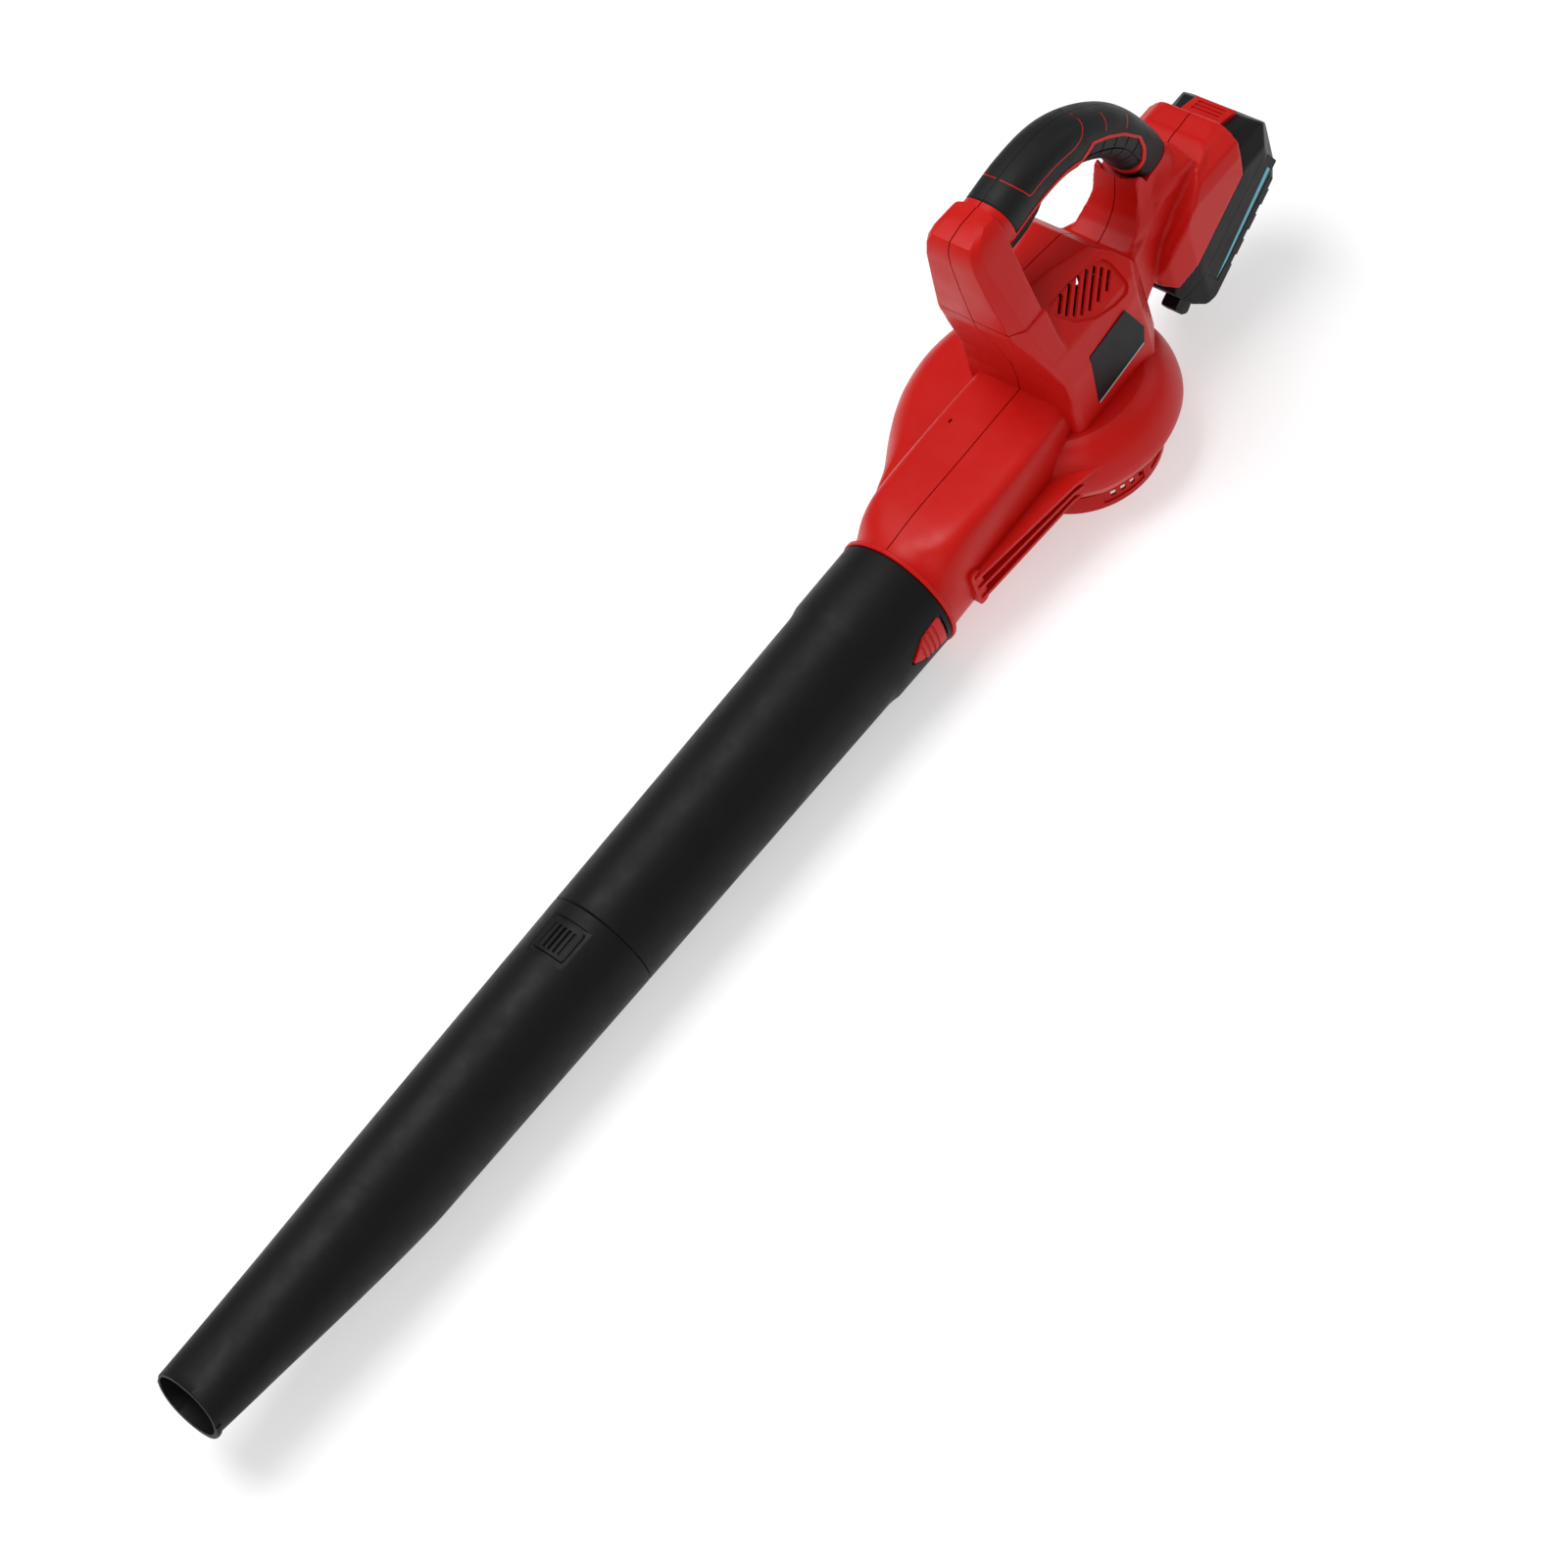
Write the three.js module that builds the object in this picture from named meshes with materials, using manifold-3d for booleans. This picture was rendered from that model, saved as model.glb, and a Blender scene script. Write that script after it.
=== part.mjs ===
// Cordless leaf blower: a scroll fan housing with a D-handle and a slide-in battery at the back,
// and a two-piece blow tube that plugs onto the duct at the front.
// Millimetres. +X points to the nozzle, +Y to the left side, +Z up.
// The origin is on the fan axis, at the bottom face of the intake grille.

import * as THREE from 'three';
import { mergeVertices } from 'three/addons/utils/BufferGeometryUtils.js';
import Module from 'manifold-3d';

const wasm = await Module();
wasm.setup();

// ---------------------------------------------------------------- driving dimensions

const GAP = 0.3;              // clearance between pieces that touch
const WALL = 2.5;             // moulded wall thickness

const FAN = {
  equator: 46,                // height of the split between upper and lower volute
  halfHeight: 33,             // the volute is this tall above and below its equator
  rimDepth: 25,               // how far the rounded rim reaches in from the outline
  dishDepth: 21,              // the same for the lower dish, whose side is nearly straight
  base: 17.5,                 // height where the intake grille ends and the dish begins
  intakeRadius: 56.2,         // outside of the intake grille
  inletRadius: 44,            // hole through the dish floor
  wheelRadius: 62,
  wheelTop: 66,
};

const TUBE = {
  axis: 53.6,                 // height of the blow tube's axis
  flange: 179.3,              // where the tube meets the duct
  collarRadius: 43.4,
  collarEnd: 234,             // end of the thicker collar
  stepLength: 6,
  startRadius: 41.7,          // tube just after the collar
  joint: 476.3,               // where the nozzle plugs on
  jointRadius: 38.1,
  wall: 2,
  spigotLength: 34,           // length of each plug-in spigot
  bendStart: 670,             // the nozzle's underside starts to sweep up here
  mouthTop: 843,
  mouthBottom: 855,
};

const MOUTH = { halfWidth: 26, halfHeight: 17, rise: 13.8 };

const HANDLE = {
  halfWidth: 18.5,            // across, along Y
  halfHeight: 17,             // along the handle's own normal
  rubber: 2.4,                // thickness of the overmould
  stripHalf: 16,              // half-width of the bare rib on the underside
  ribProud: 1.6,              // how far the rib stands proud of the rubber
  gripStart: 0.12,            // share of the path where the rubber begins and ends
  gripEnd: 0.895,
  padHalf: 12,                // half-width of the grooved finger pad let into the rib
  padStart: 0.46,             // share of the path that carries the pad
  padEnd: 0.84,
};

// The battery slides in along PACK.slide; PACK.down is square to it, out through the pack.
const PACK = {
  tilt: THREE.MathUtils.degToRad(26.5),
  halfWidth: 37.5,
  mate: -35,                  // place of the mating face, measured along PACK.down
  front: 110,                 // front end, measured along PACK.slide
  neckStart: 121,
  neckEnd: 214,
  neckHalf: 29,
  neckTop: -47,
};
PACK.slide = new THREE.Vector3(-Math.cos(PACK.tilt), 0, Math.sin(PACK.tilt));
PACK.down = new THREE.Vector3(-Math.sin(PACK.tilt), 0, -Math.cos(PACK.tilt));

// Cells lie across the pack; first, pitch and level place them in the pack's own frame.
const CELL = { radius: 9.1, length: 65, count: 5, first: 134.4, pitch: 18.8, level: -11 };

const MOTOR = { radius: 27, bottom: 88, top: 150, shaftRadius: 2.5 };

const COLOURS = {
  red: 0xc8281e,
  black: 0x1e1e20,
  rubber: 0x161617,
  steel: 0xa9adb2,
  copper: 0xb06a35,
  brass: 0xc9a24a,
  board: 0x1f6b3a,
  cell: 0x3f7fb5,
  stripe: 0x5cb6cc,
  fibre: 0x24262a,
};

// ---------------------------------------------------------------- solids and booleans

function toSolid(geometry) {
  const bare = geometry.clone();
  bare.deleteAttribute('normal');
  bare.deleteAttribute('uv');
  const welded = mergeVertices(bare, 1e-4);
  return new wasm.Manifold(new wasm.Mesh({
    numProp: 3,
    vertProperties: new Float32Array(welded.attributes.position.array),
    triVerts: new Uint32Array(welded.index.array),
  }));
}

function toGeometry(solid) {
  const mesh = solid.getMesh();
  const geometry = new THREE.BufferGeometry();
  geometry.setAttribute('position', new THREE.BufferAttribute(mesh.vertProperties, 3));
  geometry.setIndex(new THREE.BufferAttribute(mesh.triVerts, 1));
  geometry.computeVertexNormals();
  return geometry;
}

const join = (...solids) => solids.reduce((sum, next) => sum.add(next));
const cut = (solid, ...tools) => tools.reduce((rest, tool) => rest.subtract(tool), solid);
const common = (...solids) => solids.reduce((rest, next) => rest.intersect(next));

function box([x0, x1], [y0, y1], [z0, z1]) {
  const geometry = new THREE.BoxGeometry(x1 - x0, y1 - y0, z1 - z0);
  geometry.translate((x0 + x1) / 2, (y0 + y1) / 2, (z0 + z1) / 2);
  return toSolid(geometry);
}

// A cylinder between two points.
function rod(start, end, radius, sides = 20) {
  const a = new THREE.Vector3(...start);
  const b = new THREE.Vector3(...end);
  const geometry = new THREE.CylinderGeometry(radius, radius, a.distanceTo(b), sides);
  const turn = new THREE.Quaternion().setFromUnitVectors(
    new THREE.Vector3(0, 1, 0), b.clone().sub(a).normalize());
  geometry.applyQuaternion(turn);
  const middle = a.add(b).multiplyScalar(0.5);
  geometry.translate(middle.x, middle.y, middle.z);
  return toSolid(geometry);
}

// A solid turned about the Z axis; the profile is [radius, height] pairs, closed on itself or on the axis.
function turned(profile, sides = 36) {
  const points = profile.map(([r, z]) => new THREE.Vector2(r, z));
  const geometry = new THREE.LatheGeometry(points, sides);
  geometry.rotateX(Math.PI / 2);
  return toSolid(facingOut(geometry));
}

// A flat ring about the Z axis.
function ringAboutAxis(inner, outer, z0, z1, sides) {
  return turned([[inner, z0], [outer, z0], [outer, z1], [inner, z1], [inner, z0]], sides);
}

const alongX = new THREE.Matrix4().makeBasis(
  new THREE.Vector3(0, 1, 0), new THREE.Vector3(0, 0, 1), new THREE.Vector3(1, 0, 0));
const alongMinusY = new THREE.Matrix4().makeBasis(
  new THREE.Vector3(1, 0, 0), new THREE.Vector3(0, 0, 1), new THREE.Vector3(0, -1, 0));

function prism(outline, depth) {
  const shape = new THREE.Shape(outline.map(([u, v]) => new THREE.Vector2(u, v)));
  return new THREE.ExtrudeGeometry(shape, { depth, bevelEnabled: false });
}

// A side-view outline of [x, z] points, made solid from y0 to y1.
function sideSolid(outline, y0, y1) {
  const geometry = prism(outline, y1 - y0).applyMatrix4(alongMinusY);
  geometry.translate(0, y1, 0);
  return toSolid(geometry);
}

// A front-view outline of [y, z] points, made solid from x0 to x1.
function frontSolid(outline, x0, x1) {
  const geometry = prism(outline, x1 - x0).applyMatrix4(alongX);
  geometry.translate(x0, 0, 0);
  return toSolid(geometry);
}

// A plan outline of [x, y] points, made solid from z0 to z1.
function planSolid(outline, z0, z1) {
  const geometry = prism(outline, z1 - z0);
  geometry.translate(0, 0, z0);
  return toSolid(geometry);
}

// Skins a row of rings that all have the same number of points, and caps both ends.
function loft(rings) {
  const size = rings[0].length;
  const points = rings.flat();
  const faces = [];
  for (let k = 0; k + 1 < rings.length; k += 1) {
    for (let i = 0; i < size; i += 1) {
      const a = k * size + i;
      const b = k * size + (i + 1) % size;
      faces.push(a, b, b + size, a, b + size, a + size);
    }
  }
  const last = (rings.length - 1) * size;
  const startCentre = points.length;
  points.push(centreOf(rings[0]), centreOf(rings[rings.length - 1]));
  for (let i = 0; i < size; i += 1) {
    const next = (i + 1) % size;
    faces.push(startCentre, next, i);
    faces.push(startCentre + 1, last + i, last + next);
  }
  const geometry = new THREE.BufferGeometry().setFromPoints(points);
  geometry.setIndex(faces);
  return toSolid(facingOut(geometry));
}

function centreOf(ring) {
  const sum = new THREE.Vector3();
  ring.forEach((point) => sum.add(point));
  return sum.divideScalar(ring.length);
}

// Turns a closed geometry's faces outwards: its signed volume tells which way they point.
function facingOut(geometry) {
  const { index, attributes: { position } } = geometry;
  const corner = (i) => new THREE.Vector3().fromBufferAttribute(position, index.getX(i));
  let volume = 0;
  for (let i = 0; i < index.count; i += 3) {
    volume += corner(i).dot(corner(i + 1).cross(corner(i + 2)));
  }
  if (volume < 0) index.array.reverse();
  return geometry;
}

// Points of a rounded section: exponent 2 is an ellipse, and larger ones are squarer.
function roundedSection(halfWidth, halfHeight, upper, sides, lower = upper) {
  return Array.from({ length: sides }, (_, i) => {
    const angle = (i / sides) * 2 * Math.PI;
    const c = Math.cos(angle);
    const s = Math.sin(angle);
    const exponent = s > 0 ? upper : lower;
    const u = Math.sign(c) * Math.abs(c) ** (2 / exponent) * halfWidth;
    const v = Math.sign(s) * Math.abs(s) ** (2 / exponent) * halfHeight;
    return [u, v];
  });
}

// A section in the plane x = constant.
function sectionAt(x, z, halfWidth, halfHeight, upper, sides, lower = upper) {
  return roundedSection(halfWidth, halfHeight, upper, sides, lower)
    .map(([y, dz]) => new THREE.Vector3(x, y, z + dz));
}

// ---------------------------------------------------------------- volute and duct

// Plan outline of the scroll: plain and round at the left and back, swelling on the right
// until it runs into the duct.
const scroll = new THREE.CatmullRomCurve3([
  [62, 46], [40, 66], [0, 77], [-39, 66.5], [-67, 38], [-77, 0], [-71, -41], [-50, -73],
  [-18, -96], [19, -104], [55, -99], [86, -85], [113, -66], [137, -50], [149, -33], [139, -14], [104, 14],
].map(([x, y]) => new THREE.Vector3(x, y, 0)), true, 'centripetal');

const SCROLL_SIDES = 36;

// The scroll's outline at height z, moved in by the rim's rounding and by an even shrink.
// The rounding fades towards the tip, where the scroll runs into the duct.
function scrollRing(rounding, shrink, z) {
  return Array.from({ length: SCROLL_SIDES }, (_, i) => {
    const at = i / SCROLL_SIDES;
    const point = scroll.getPointAt(at);
    const along = scroll.getTangentAt(at);
    const inset = shrink + rounding * (1 - 0.8 * THREE.MathUtils.smoothstep(point.x, 85, 150));
    return new THREE.Vector3(point.x - along.y * inset, point.y + along.x * inset, z);
  });
}

// The puffed volute, or its hollow when shrink is the wall thickness.
function voluteSolid(shrink = 0) {
  const half = FAN.halfHeight - shrink;
  const levels = [-0.94, -0.6, -0.3, 0, 0.4, 0.75, 0.93, 1];
  const rings = levels.map((level) => {
    const rounding = level < 0
      ? FAN.dishDepth * (-level) ** 1.5
      : FAN.rimDepth * (1 - Math.sqrt(1 - Math.min(level * level, 0.97)));
    return scrollRing(rounding, shrink, FAN.equator + level * half);
  });
  return loft(rings);
}

// The duct is flat-topped and crisp-edged next to the motor housing, and round at the flange.
// Stations: place, height of the middle, half-width, half-height, squareness above and below.
function ductSolid(shrink = 0, from = 30, to = TUBE.flange - 3) {
  const stations = [
    [from, 58, 38, 41.5, 7, 2.6],
    [60, 57.5, 39.5, 41.5, 6.5, 2.5],
    [100, 57, 40.5, 41.3, 5, 2.3],
    [140, 56.5, 40.7, 41.6, 3.2, 2.1],
    [165, 54.6, 40.9, 41.4, 2.3, 2],
    [to, TUBE.axis, 41.8, 41.8, 2, 2],
  ];
  const rings = stations.map(([x, z, w, h, upper, lower]) => (
    sectionAt(x, z, w - shrink, h - shrink, upper, 28, lower)));
  return loft(rings);
}

// Three long gusset fins on the left, between the duct and the volute.
function gussetFins() {
  const fins = [62, 52, 42].map((z, i) => {
    const outline = [[46, 30], [46, 61 - i * 3], [60, 56 - i * 4], [146, 41 - i * 2], [146, 25]];
    return planSolid(outline, z - 1.2, z + 1.2);
  });
  return join(...fins);
}

// The flange lip and the spigot that the blow tube plugs onto.
function ductEnd() {
  const lip = rod([TUBE.flange - 3.6, 0, TUBE.axis], [TUBE.flange - 0.2, 0, TUBE.axis], 44.8, 32);
  const spigotRadius = TUBE.collarRadius - TUBE.wall - 2.6;
  const spigot = rod([TUBE.flange - 3, 0, TUBE.axis],
    [TUBE.flange + TUBE.spigotLength, 0, TUBE.axis], spigotRadius, 32);
  return join(lip, spigot);
}

function ductBore() {
  const bore = rod([TUBE.flange - 8, 0, TUBE.axis],
    [TUBE.flange + TUBE.spigotLength + 1, 0, TUBE.axis], TUBE.collarRadius - TUBE.wall - 5, 28);
  return join(ductSolid(WALL, 31.5), bore);
}

// ---------------------------------------------------------------- motor housing, handle and struts

// The motor housing is where its side, front and plan outlines agree.
function motorHousing(shrink = 0) {
  const s = shrink;
  const side = [
    [35 - s, 70], [34 - s, 98], [32.6 - s, 109], [33.6 - s, 126], [40 - s, 149], [50 - s, 178],
    [51 - s, 187 - s], [24, 187 - s], [20, 183 - s], [-12, 180 - s], [-37, 176.5 - s],
    [-46 + s, 167 - s], [-58 + s, 146 - s], [-66 + s, 136], [-71 + s, 112], [-72 + s, 70],
  ];
  const front = [
    [-46 + s, 70], [46 - s, 70], [46.5 - s, 124], [43 - s, 148 - s], [29 - s, 173 - s], [14, 181 - s],
    [0, 184 - s], [-14, 181 - s], [-29 + s, 173 - s], [-43 + s, 148 - s], [-46.5 + s, 124],
  ];
  const noseFront = [
    [-46 + s, 70], [46 - s, 70], [46 - s, 128], [36 - s, 187 - s], [-36 + s, 187 - s], [-46 + s, 128],
  ];
  const plan = [
    [51 - s, -27], [51 - s, 27], [42 - s, 37 - s], [33 - s, 44 - s], [28, 47 - s], [-45, 45 - s],
    [-67 + s, 27], [-72 + s, 14], [-72 + s, -14], [-67 + s, -27], [-45, -45 + s], [28, -47 + s],
    [33 - s, -44 + s], [42 - s, -37 + s],
  ];
  const top = join(frontSolid(front, -80, 60), frontSolid(noseFront, 22 + s, 60));
  return common(sideSolid(side, -60, 60), top, planSolid(plan, 60, 200));
}

// One level of the front strut: front face, chamfer and rear edge, mirrored about y = 0.
function strutRing(z, front, faceHalf, chamferX, sideHalf, rear) {
  const right = [[front, faceHalf], [chamferX, sideHalf], [rear + 2, sideHalf - 0.5], [rear, sideHalf - 5]];
  const left = right.map(([x, y]) => [x, -y]).reverse();
  return [...right, ...left].map(([x, y]) => new THREE.Vector3(x, y, z));
}

function frontStrut(shrink = 0) {
  const s = shrink;
  return loft([
    strutRing(180, 50.2 - s, 29 - s, 41 - s, 35.5 - s, 22 + s),
    strutRing(187, 51 - s, 28.4 - s, 41.5 - s, 35 - s, 22 + s),
    strutRing(215, 52.4 - s, 23.5 - s, 44 - s, 29 - s, 21.5 + s),
    strutRing(241, 52.6 - s, 19.5 - s, 46 - s, 23 - s, 20 + s),
    strutRing(250 - s, 50.5 - s, 17 - s, 44.5 - s, 20.5 - s, 20 + s),
    strutRing(259 - s, 39 - s, 12 - s, 34 - s, 15 - s, 20 + s),
  ]);
}

// Centre line of the handle, in the plane y = 0.
const handlePath = new THREE.CatmullRomCurve3([
  [38, 240], [16, 242], [-18, 246.7], [-47, 244.7], [-71, 233.6], [-95, 213],
  [-107.6, 191], [-115, 172], [-117, 150],
].map(([x, z]) => new THREE.Vector3(x, 0, z)), false, 'centripetal');

// A point of the handle's own frame: at share u of the path, across by y and out of the loop by n.
function handlePoint(u, y, n) {
  const centre = handlePath.getPointAt(u);
  const along = handlePath.getTangentAt(u);
  return new THREE.Vector3(centre.x + along.z * n, y, centre.z - along.x * n);
}

// Sweeps a section of [y, n] pairs along the handle between two shares of its path.
function handleSweep(from, to, steps, section) {
  const rings = Array.from({ length: steps + 1 }, (_, k) => {
    const u = from + ((to - from) * k) / steps;
    return section(u).map(([y, n]) => handlePoint(u, y, n));
  });
  return loft(rings);
}

// The handle's bar, made smaller by an inset; it flares into a neck after the rubber.
function handleBar(inset, from = 0, to = 1, steps = 12) {
  return handleSweep(from, to, steps, (u) => {
    const flare = 1 + 0.42 * THREE.MathUtils.smoothstep(u, HANDLE.gripEnd, 1);
    return roundedSection(HANDLE.halfWidth * flare - inset, HANDLE.halfHeight * flare - inset, 2.4, 16);
  });
}

// A strip along the handle's underside.
function undersideStrip(half, from, to, top, bottom, steps) {
  return handleSweep(from, to, steps, () => [[-half, top], [half, top], [half, bottom], [-half, bottom]]);
}

// The rear strut: a saddle behind the motor housing that rises to the handle's foot.
// Stations: place, height in the middle, shoulder half-width and height, edge half-width and
// height, and height of the underside.
function rearStrut(shrink = 0) {
  const s = shrink;
  const stations = [
    [-46, 139, 20, 141, 33, 146, 96],
    [-60, 138.5, 18, 139, 31, 143, 96],
    [-78, 142.5, 15, 141.5, 25.5, 139, 97],
    [-94, 148.5, 14, 147, 23, 143, 99],
    [-108, 161, 14, 160, 24, 156, 105],
    [-136, 168, 14, 167, 27, 160, 128],
  ];
  return loft(stations.map(([x, middle, shoulder, shoulderZ, edge, edgeZ, under]) => {
    const ring = [
      [-edge + s, under + s], [edge - s, under + s], [edge - s, edgeZ - s], [shoulder, shoulderZ - s],
      [0, middle - s], [-shoulder, shoulderZ - s], [-edge + s, edgeZ - s],
    ];
    return ring.map(([y, z]) => new THREE.Vector3(x, y, z));
  }));
}

// The battery holder above the pack's mating face.
const BOX = { rearTop: [-172, 157.5], rearBottom: [-165, 121.2] };

function packPoint(s, q) {
  return [PACK.slide.x * s + PACK.down.x * q, PACK.slide.z * s + PACK.down.z * q];
}

function batteryHolder(shrink = 0) {
  const s = shrink;
  const [frontX, frontZ] = packPoint(119, PACK.mate);
  const side = [
    [BOX.rearTop[0] + s, BOX.rearTop[1] - s], [-150, 155 - s], [-134, 151.5 - s], [-113, 136 - s],
    [-92 - s, 116], [-79 - s, 99 + s], [-82, 92 + s], [frontX, frontZ + s],
    [BOX.rearBottom[0] + s, BOX.rearBottom[1] + s],
  ];
  const plan = [
    [-180, 28], [-166 + s, 38.5 - s], [-106, 38.5 - s], [-88, 33 - s], [-76, 22], [-76, -22], [-88, -33 + s],
    [-106, -38.5 + s], [-166 + s, -38.5 + s], [-180, -28],
  ];
  const front = [
    [-39, 60], [39, 60], [39, 136], [35.5 - s, 147 - s], [26 - s, 154.5 - s], [15, 158.5 - s],
    [-15, 158.5 - s], [-26 + s, 154.5 - s], [-35.5 + s, 147 - s], [-39, 136],
  ];
  return common(sideSolid(side, -45, 45), planSolid(plan, 70, 175), frontSolid(front, -190, -60));
}

// Places a box given in the battery's own frame: along the slide, across, and down through the pack.
function packBox([s0, s1], [y0, y1], [q0, q1]) {
  const corners = [packPoint(s0, q0), packPoint(s1, q0), packPoint(s1, q1), packPoint(s0, q1)];
  return sideSolid(corners, y0, y1);
}

// ---------------------------------------------------------------- housing shells

// Places of the three motor screws round the fan axis.
const screwCircle = (radius) => [90, 210, 330].map((deg) => {
  const angle = THREE.MathUtils.degToRad(deg);
  return [radius * Math.cos(angle), radius * Math.sin(angle)];
});

const TRIGGER = { rear: -23, half: 7.5, well: 8 };

function triggerWell() {
  return box([TRIGGER.rear - 1.5, 21.5], [-TRIGGER.well, TRIGGER.well], [202, 240]);
}

// Vent slots through the left or right side of the motor housing. Seven lean well back on its
// sloping shoulder, longest in the middle, and three cross its rear corner.
function ventSlots(side) {
  const slots = [];
  for (let i = 0; i < 7; i += 1) {
    const z = 167.5 - i * 2;
    const reach = 3 + 11 * Math.sin(((i + 1) / 8) * Math.PI);
    const slot = new THREE.BoxGeometry(2.2, 14, 2 * reach);
    slot.rotateY(THREE.MathUtils.degToRad(-57));
    slot.rotateX(side * THREE.MathUtils.degToRad(28));
    slot.translate(5 - i * 6.1, side * (36.3 - (z - 160) * 0.56), z);
    slots.push(toSolid(slot));
  }
  for (let i = 0; i < 3; i += 1) {
    const slot = new THREE.BoxGeometry(22, 2.2, 18);
    slot.rotateZ(side * THREE.MathUtils.degToRad(-38));
    slot.translate(-54 - i * 4.6, side * (38 - i * 3.6), 112);
    slots.push(toSolid(slot));
  }
  return join(...slots);
}

// Bosses for the screws that hold the two shells together, as [x, z] places.
const SCREW_PLACES = [[42, 171], [37, 226], [-57, 113], [-128, 141], [-33, 164]];

function screwSites(radius, y0, y1) {
  return SCREW_PLACES.map(([x, z]) => rod([x, y0, z], [x, y1, z], radius, 12));
}

function housingOutside() {
  const upperVolute = common(voluteSolid(), box([-100, 200], [-130, 130], [FAN.equator, 120]));
  const label = [[13, 87], [9, 130], [-30, 134.5], [-42, 106], [-38, 93]];
  const labelSeat = sideSolid(label, -60, 60);
  const bare = join(
    upperVolute, ductSolid(), ductEnd(), gussetFins(), motorHousing(), frontStrut(), rearStrut(),
    handleBar(0, 0, HANDLE.gripStart, 3), handleBar(0, HANDLE.gripEnd, 1, 4),
    handleBar(HANDLE.rubber + GAP, 0.1, 0.92, 10),
    common(handleBar(-HANDLE.ribProud, 0.1, 0.92, 10),
      undersideStrip(HANDLE.stripHalf - GAP, 0.1, 0.92, -8.5, -HANDLE.halfHeight - 3, 10)),
    batteryHolder(),
  );
  const labelDepth = cut(labelSeat, box([-60, 40], [-45.4, 45.4], [60, 150]));
  const { padHalf, padStart, padEnd } = HANDLE;
  const padSeat = undersideStrip(padHalf + GAP, padStart - 0.006, padEnd + 0.006, -13.4, -22, 8);
  return cut(bare, labelDepth, padSeat);
}

function housingInside() {
  const latchChannel = box(
    [TUBE.flange + 4, TUBE.flange + 60], [30, 60], [TUBE.axis - 13, TUBE.axis + 13]);
  const motorRoom = cut(motorHousing(WALL), box([-90, 60], [-60, 60], [60, 82]));
  const handleRoom = handleBar(HANDLE.rubber + WALL + 0.6, 0.03, 0.97, 12);
  const { neckHalf, neckTop, mate } = PACK;
  const slot = packBox([118.5, 260], [-neckHalf - 0.6, neckHalf + 0.6], [neckTop - 0.6, mate + 3]);
  return join(
    voluteSolid(WALL), ductBore(), motorRoom, frontStrut(WALL + 0.3), handleRoom,
    cut(rearStrut(WALL + 0.3), box([-60, -40], [-50, 50], [90, 110])),
    batteryHolder(WALL + 0.3), slot,
    triggerWell(),
    rod([0, 0, 70], [0, 0, 90], 6),
    ...screwCircle(26).map(([x, y]) => rod([x, y, 74], [x, y, 84], 2, 10)),
    rod([-105, 0, 182], [-117, 0, 138], 8),
    latchChannel,
  );
}

const shellOutside = housingOutside();
const shellInside = housingInside();
const shellWhole = cut(shellOutside, shellInside);

// All the space to the left or to the right of the middle plane, but for half the gap.
function halfSpace(side) {
  const reach = side > 0 ? [GAP / 2, 200] : [-200, -GAP / 2];
  return box([-250, 300], reach, [-5, 300]);
}

function housingShell(side) {
  const half = halfSpace(side);
  const bosses = side > 0 ? screwSites(3.8, GAP / 2, 60) : screwSites(5.4, -60, -GAP / 2);
  const shell = join(common(shellWhole, half), common(join(...bosses), shellOutside));
  return cut(shell, ventSlots(side), ...screwSites(1.7, -60, 12), ...screwSites(3.9, -60, -11));
}

// The lower volute dish, with the throat that the intake grille closes.
function intakeCover() {
  const lower = common(voluteSolid(), box([-100, 200], [-130, 130], [FAN.base, FAN.equator - GAP]));
  const throat = rod([0, 0, FAN.base - 2], [0, 0, FAN.base + 8], FAN.inletRadius, 48);
  const pocket = voluteSolid(WALL);
  return cut(lower, pocket, throat, ductSolid(-GAP), gussetFins());
}

// ---------------------------------------------------------------- intake grille

function intakeGrille() {
  const R = FAN.intakeRadius;
  const top = FAN.base - GAP;
  const wall = turned([[R - 2.5, 0], [R, 0], [R + 1.2, top], [R - 2.5, top], [R - 2.5, 0]], 32);
  const rings = [42, 26].map((r) => ringAboutAxis(r - 2, r, 0, 3, 20));
  const hub = rod([0, 0, 0], [0, 0, 3.2], 10, 16);
  const spokes = Array.from({ length: 8 }, (_, i) => {
    const spoke = new THREE.BoxGeometry(R - 8, 1.8, 3);
    spoke.translate((R - 8) / 2 + 6, 0, 1.5);
    spoke.rotateZ((i / 8) * 2 * Math.PI);
    return toSolid(spoke);
  });
  const shelf = ringAboutAxis(R - 6, R - 1, top - 2, top, 32);
  const slots = [];
  for (let group = 0; group < 8; group += 1) {
    for (let i = 0; i < 4; i += 1) {
      const slot = new THREE.BoxGeometry(8, 3.8, 6.2);
      slot.translate(R, 0, 11.8);
      slot.rotateZ(THREE.MathUtils.degToRad(group * 40 + i * 7.8 + 62));
      slots.push(toSolid(slot));
    }
  }
  return cut(join(wall, ...rings, hub, ...spokes, shelf), join(...slots), ductSolid(-GAP));
}

// ---------------------------------------------------------------- fan and motor

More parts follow.
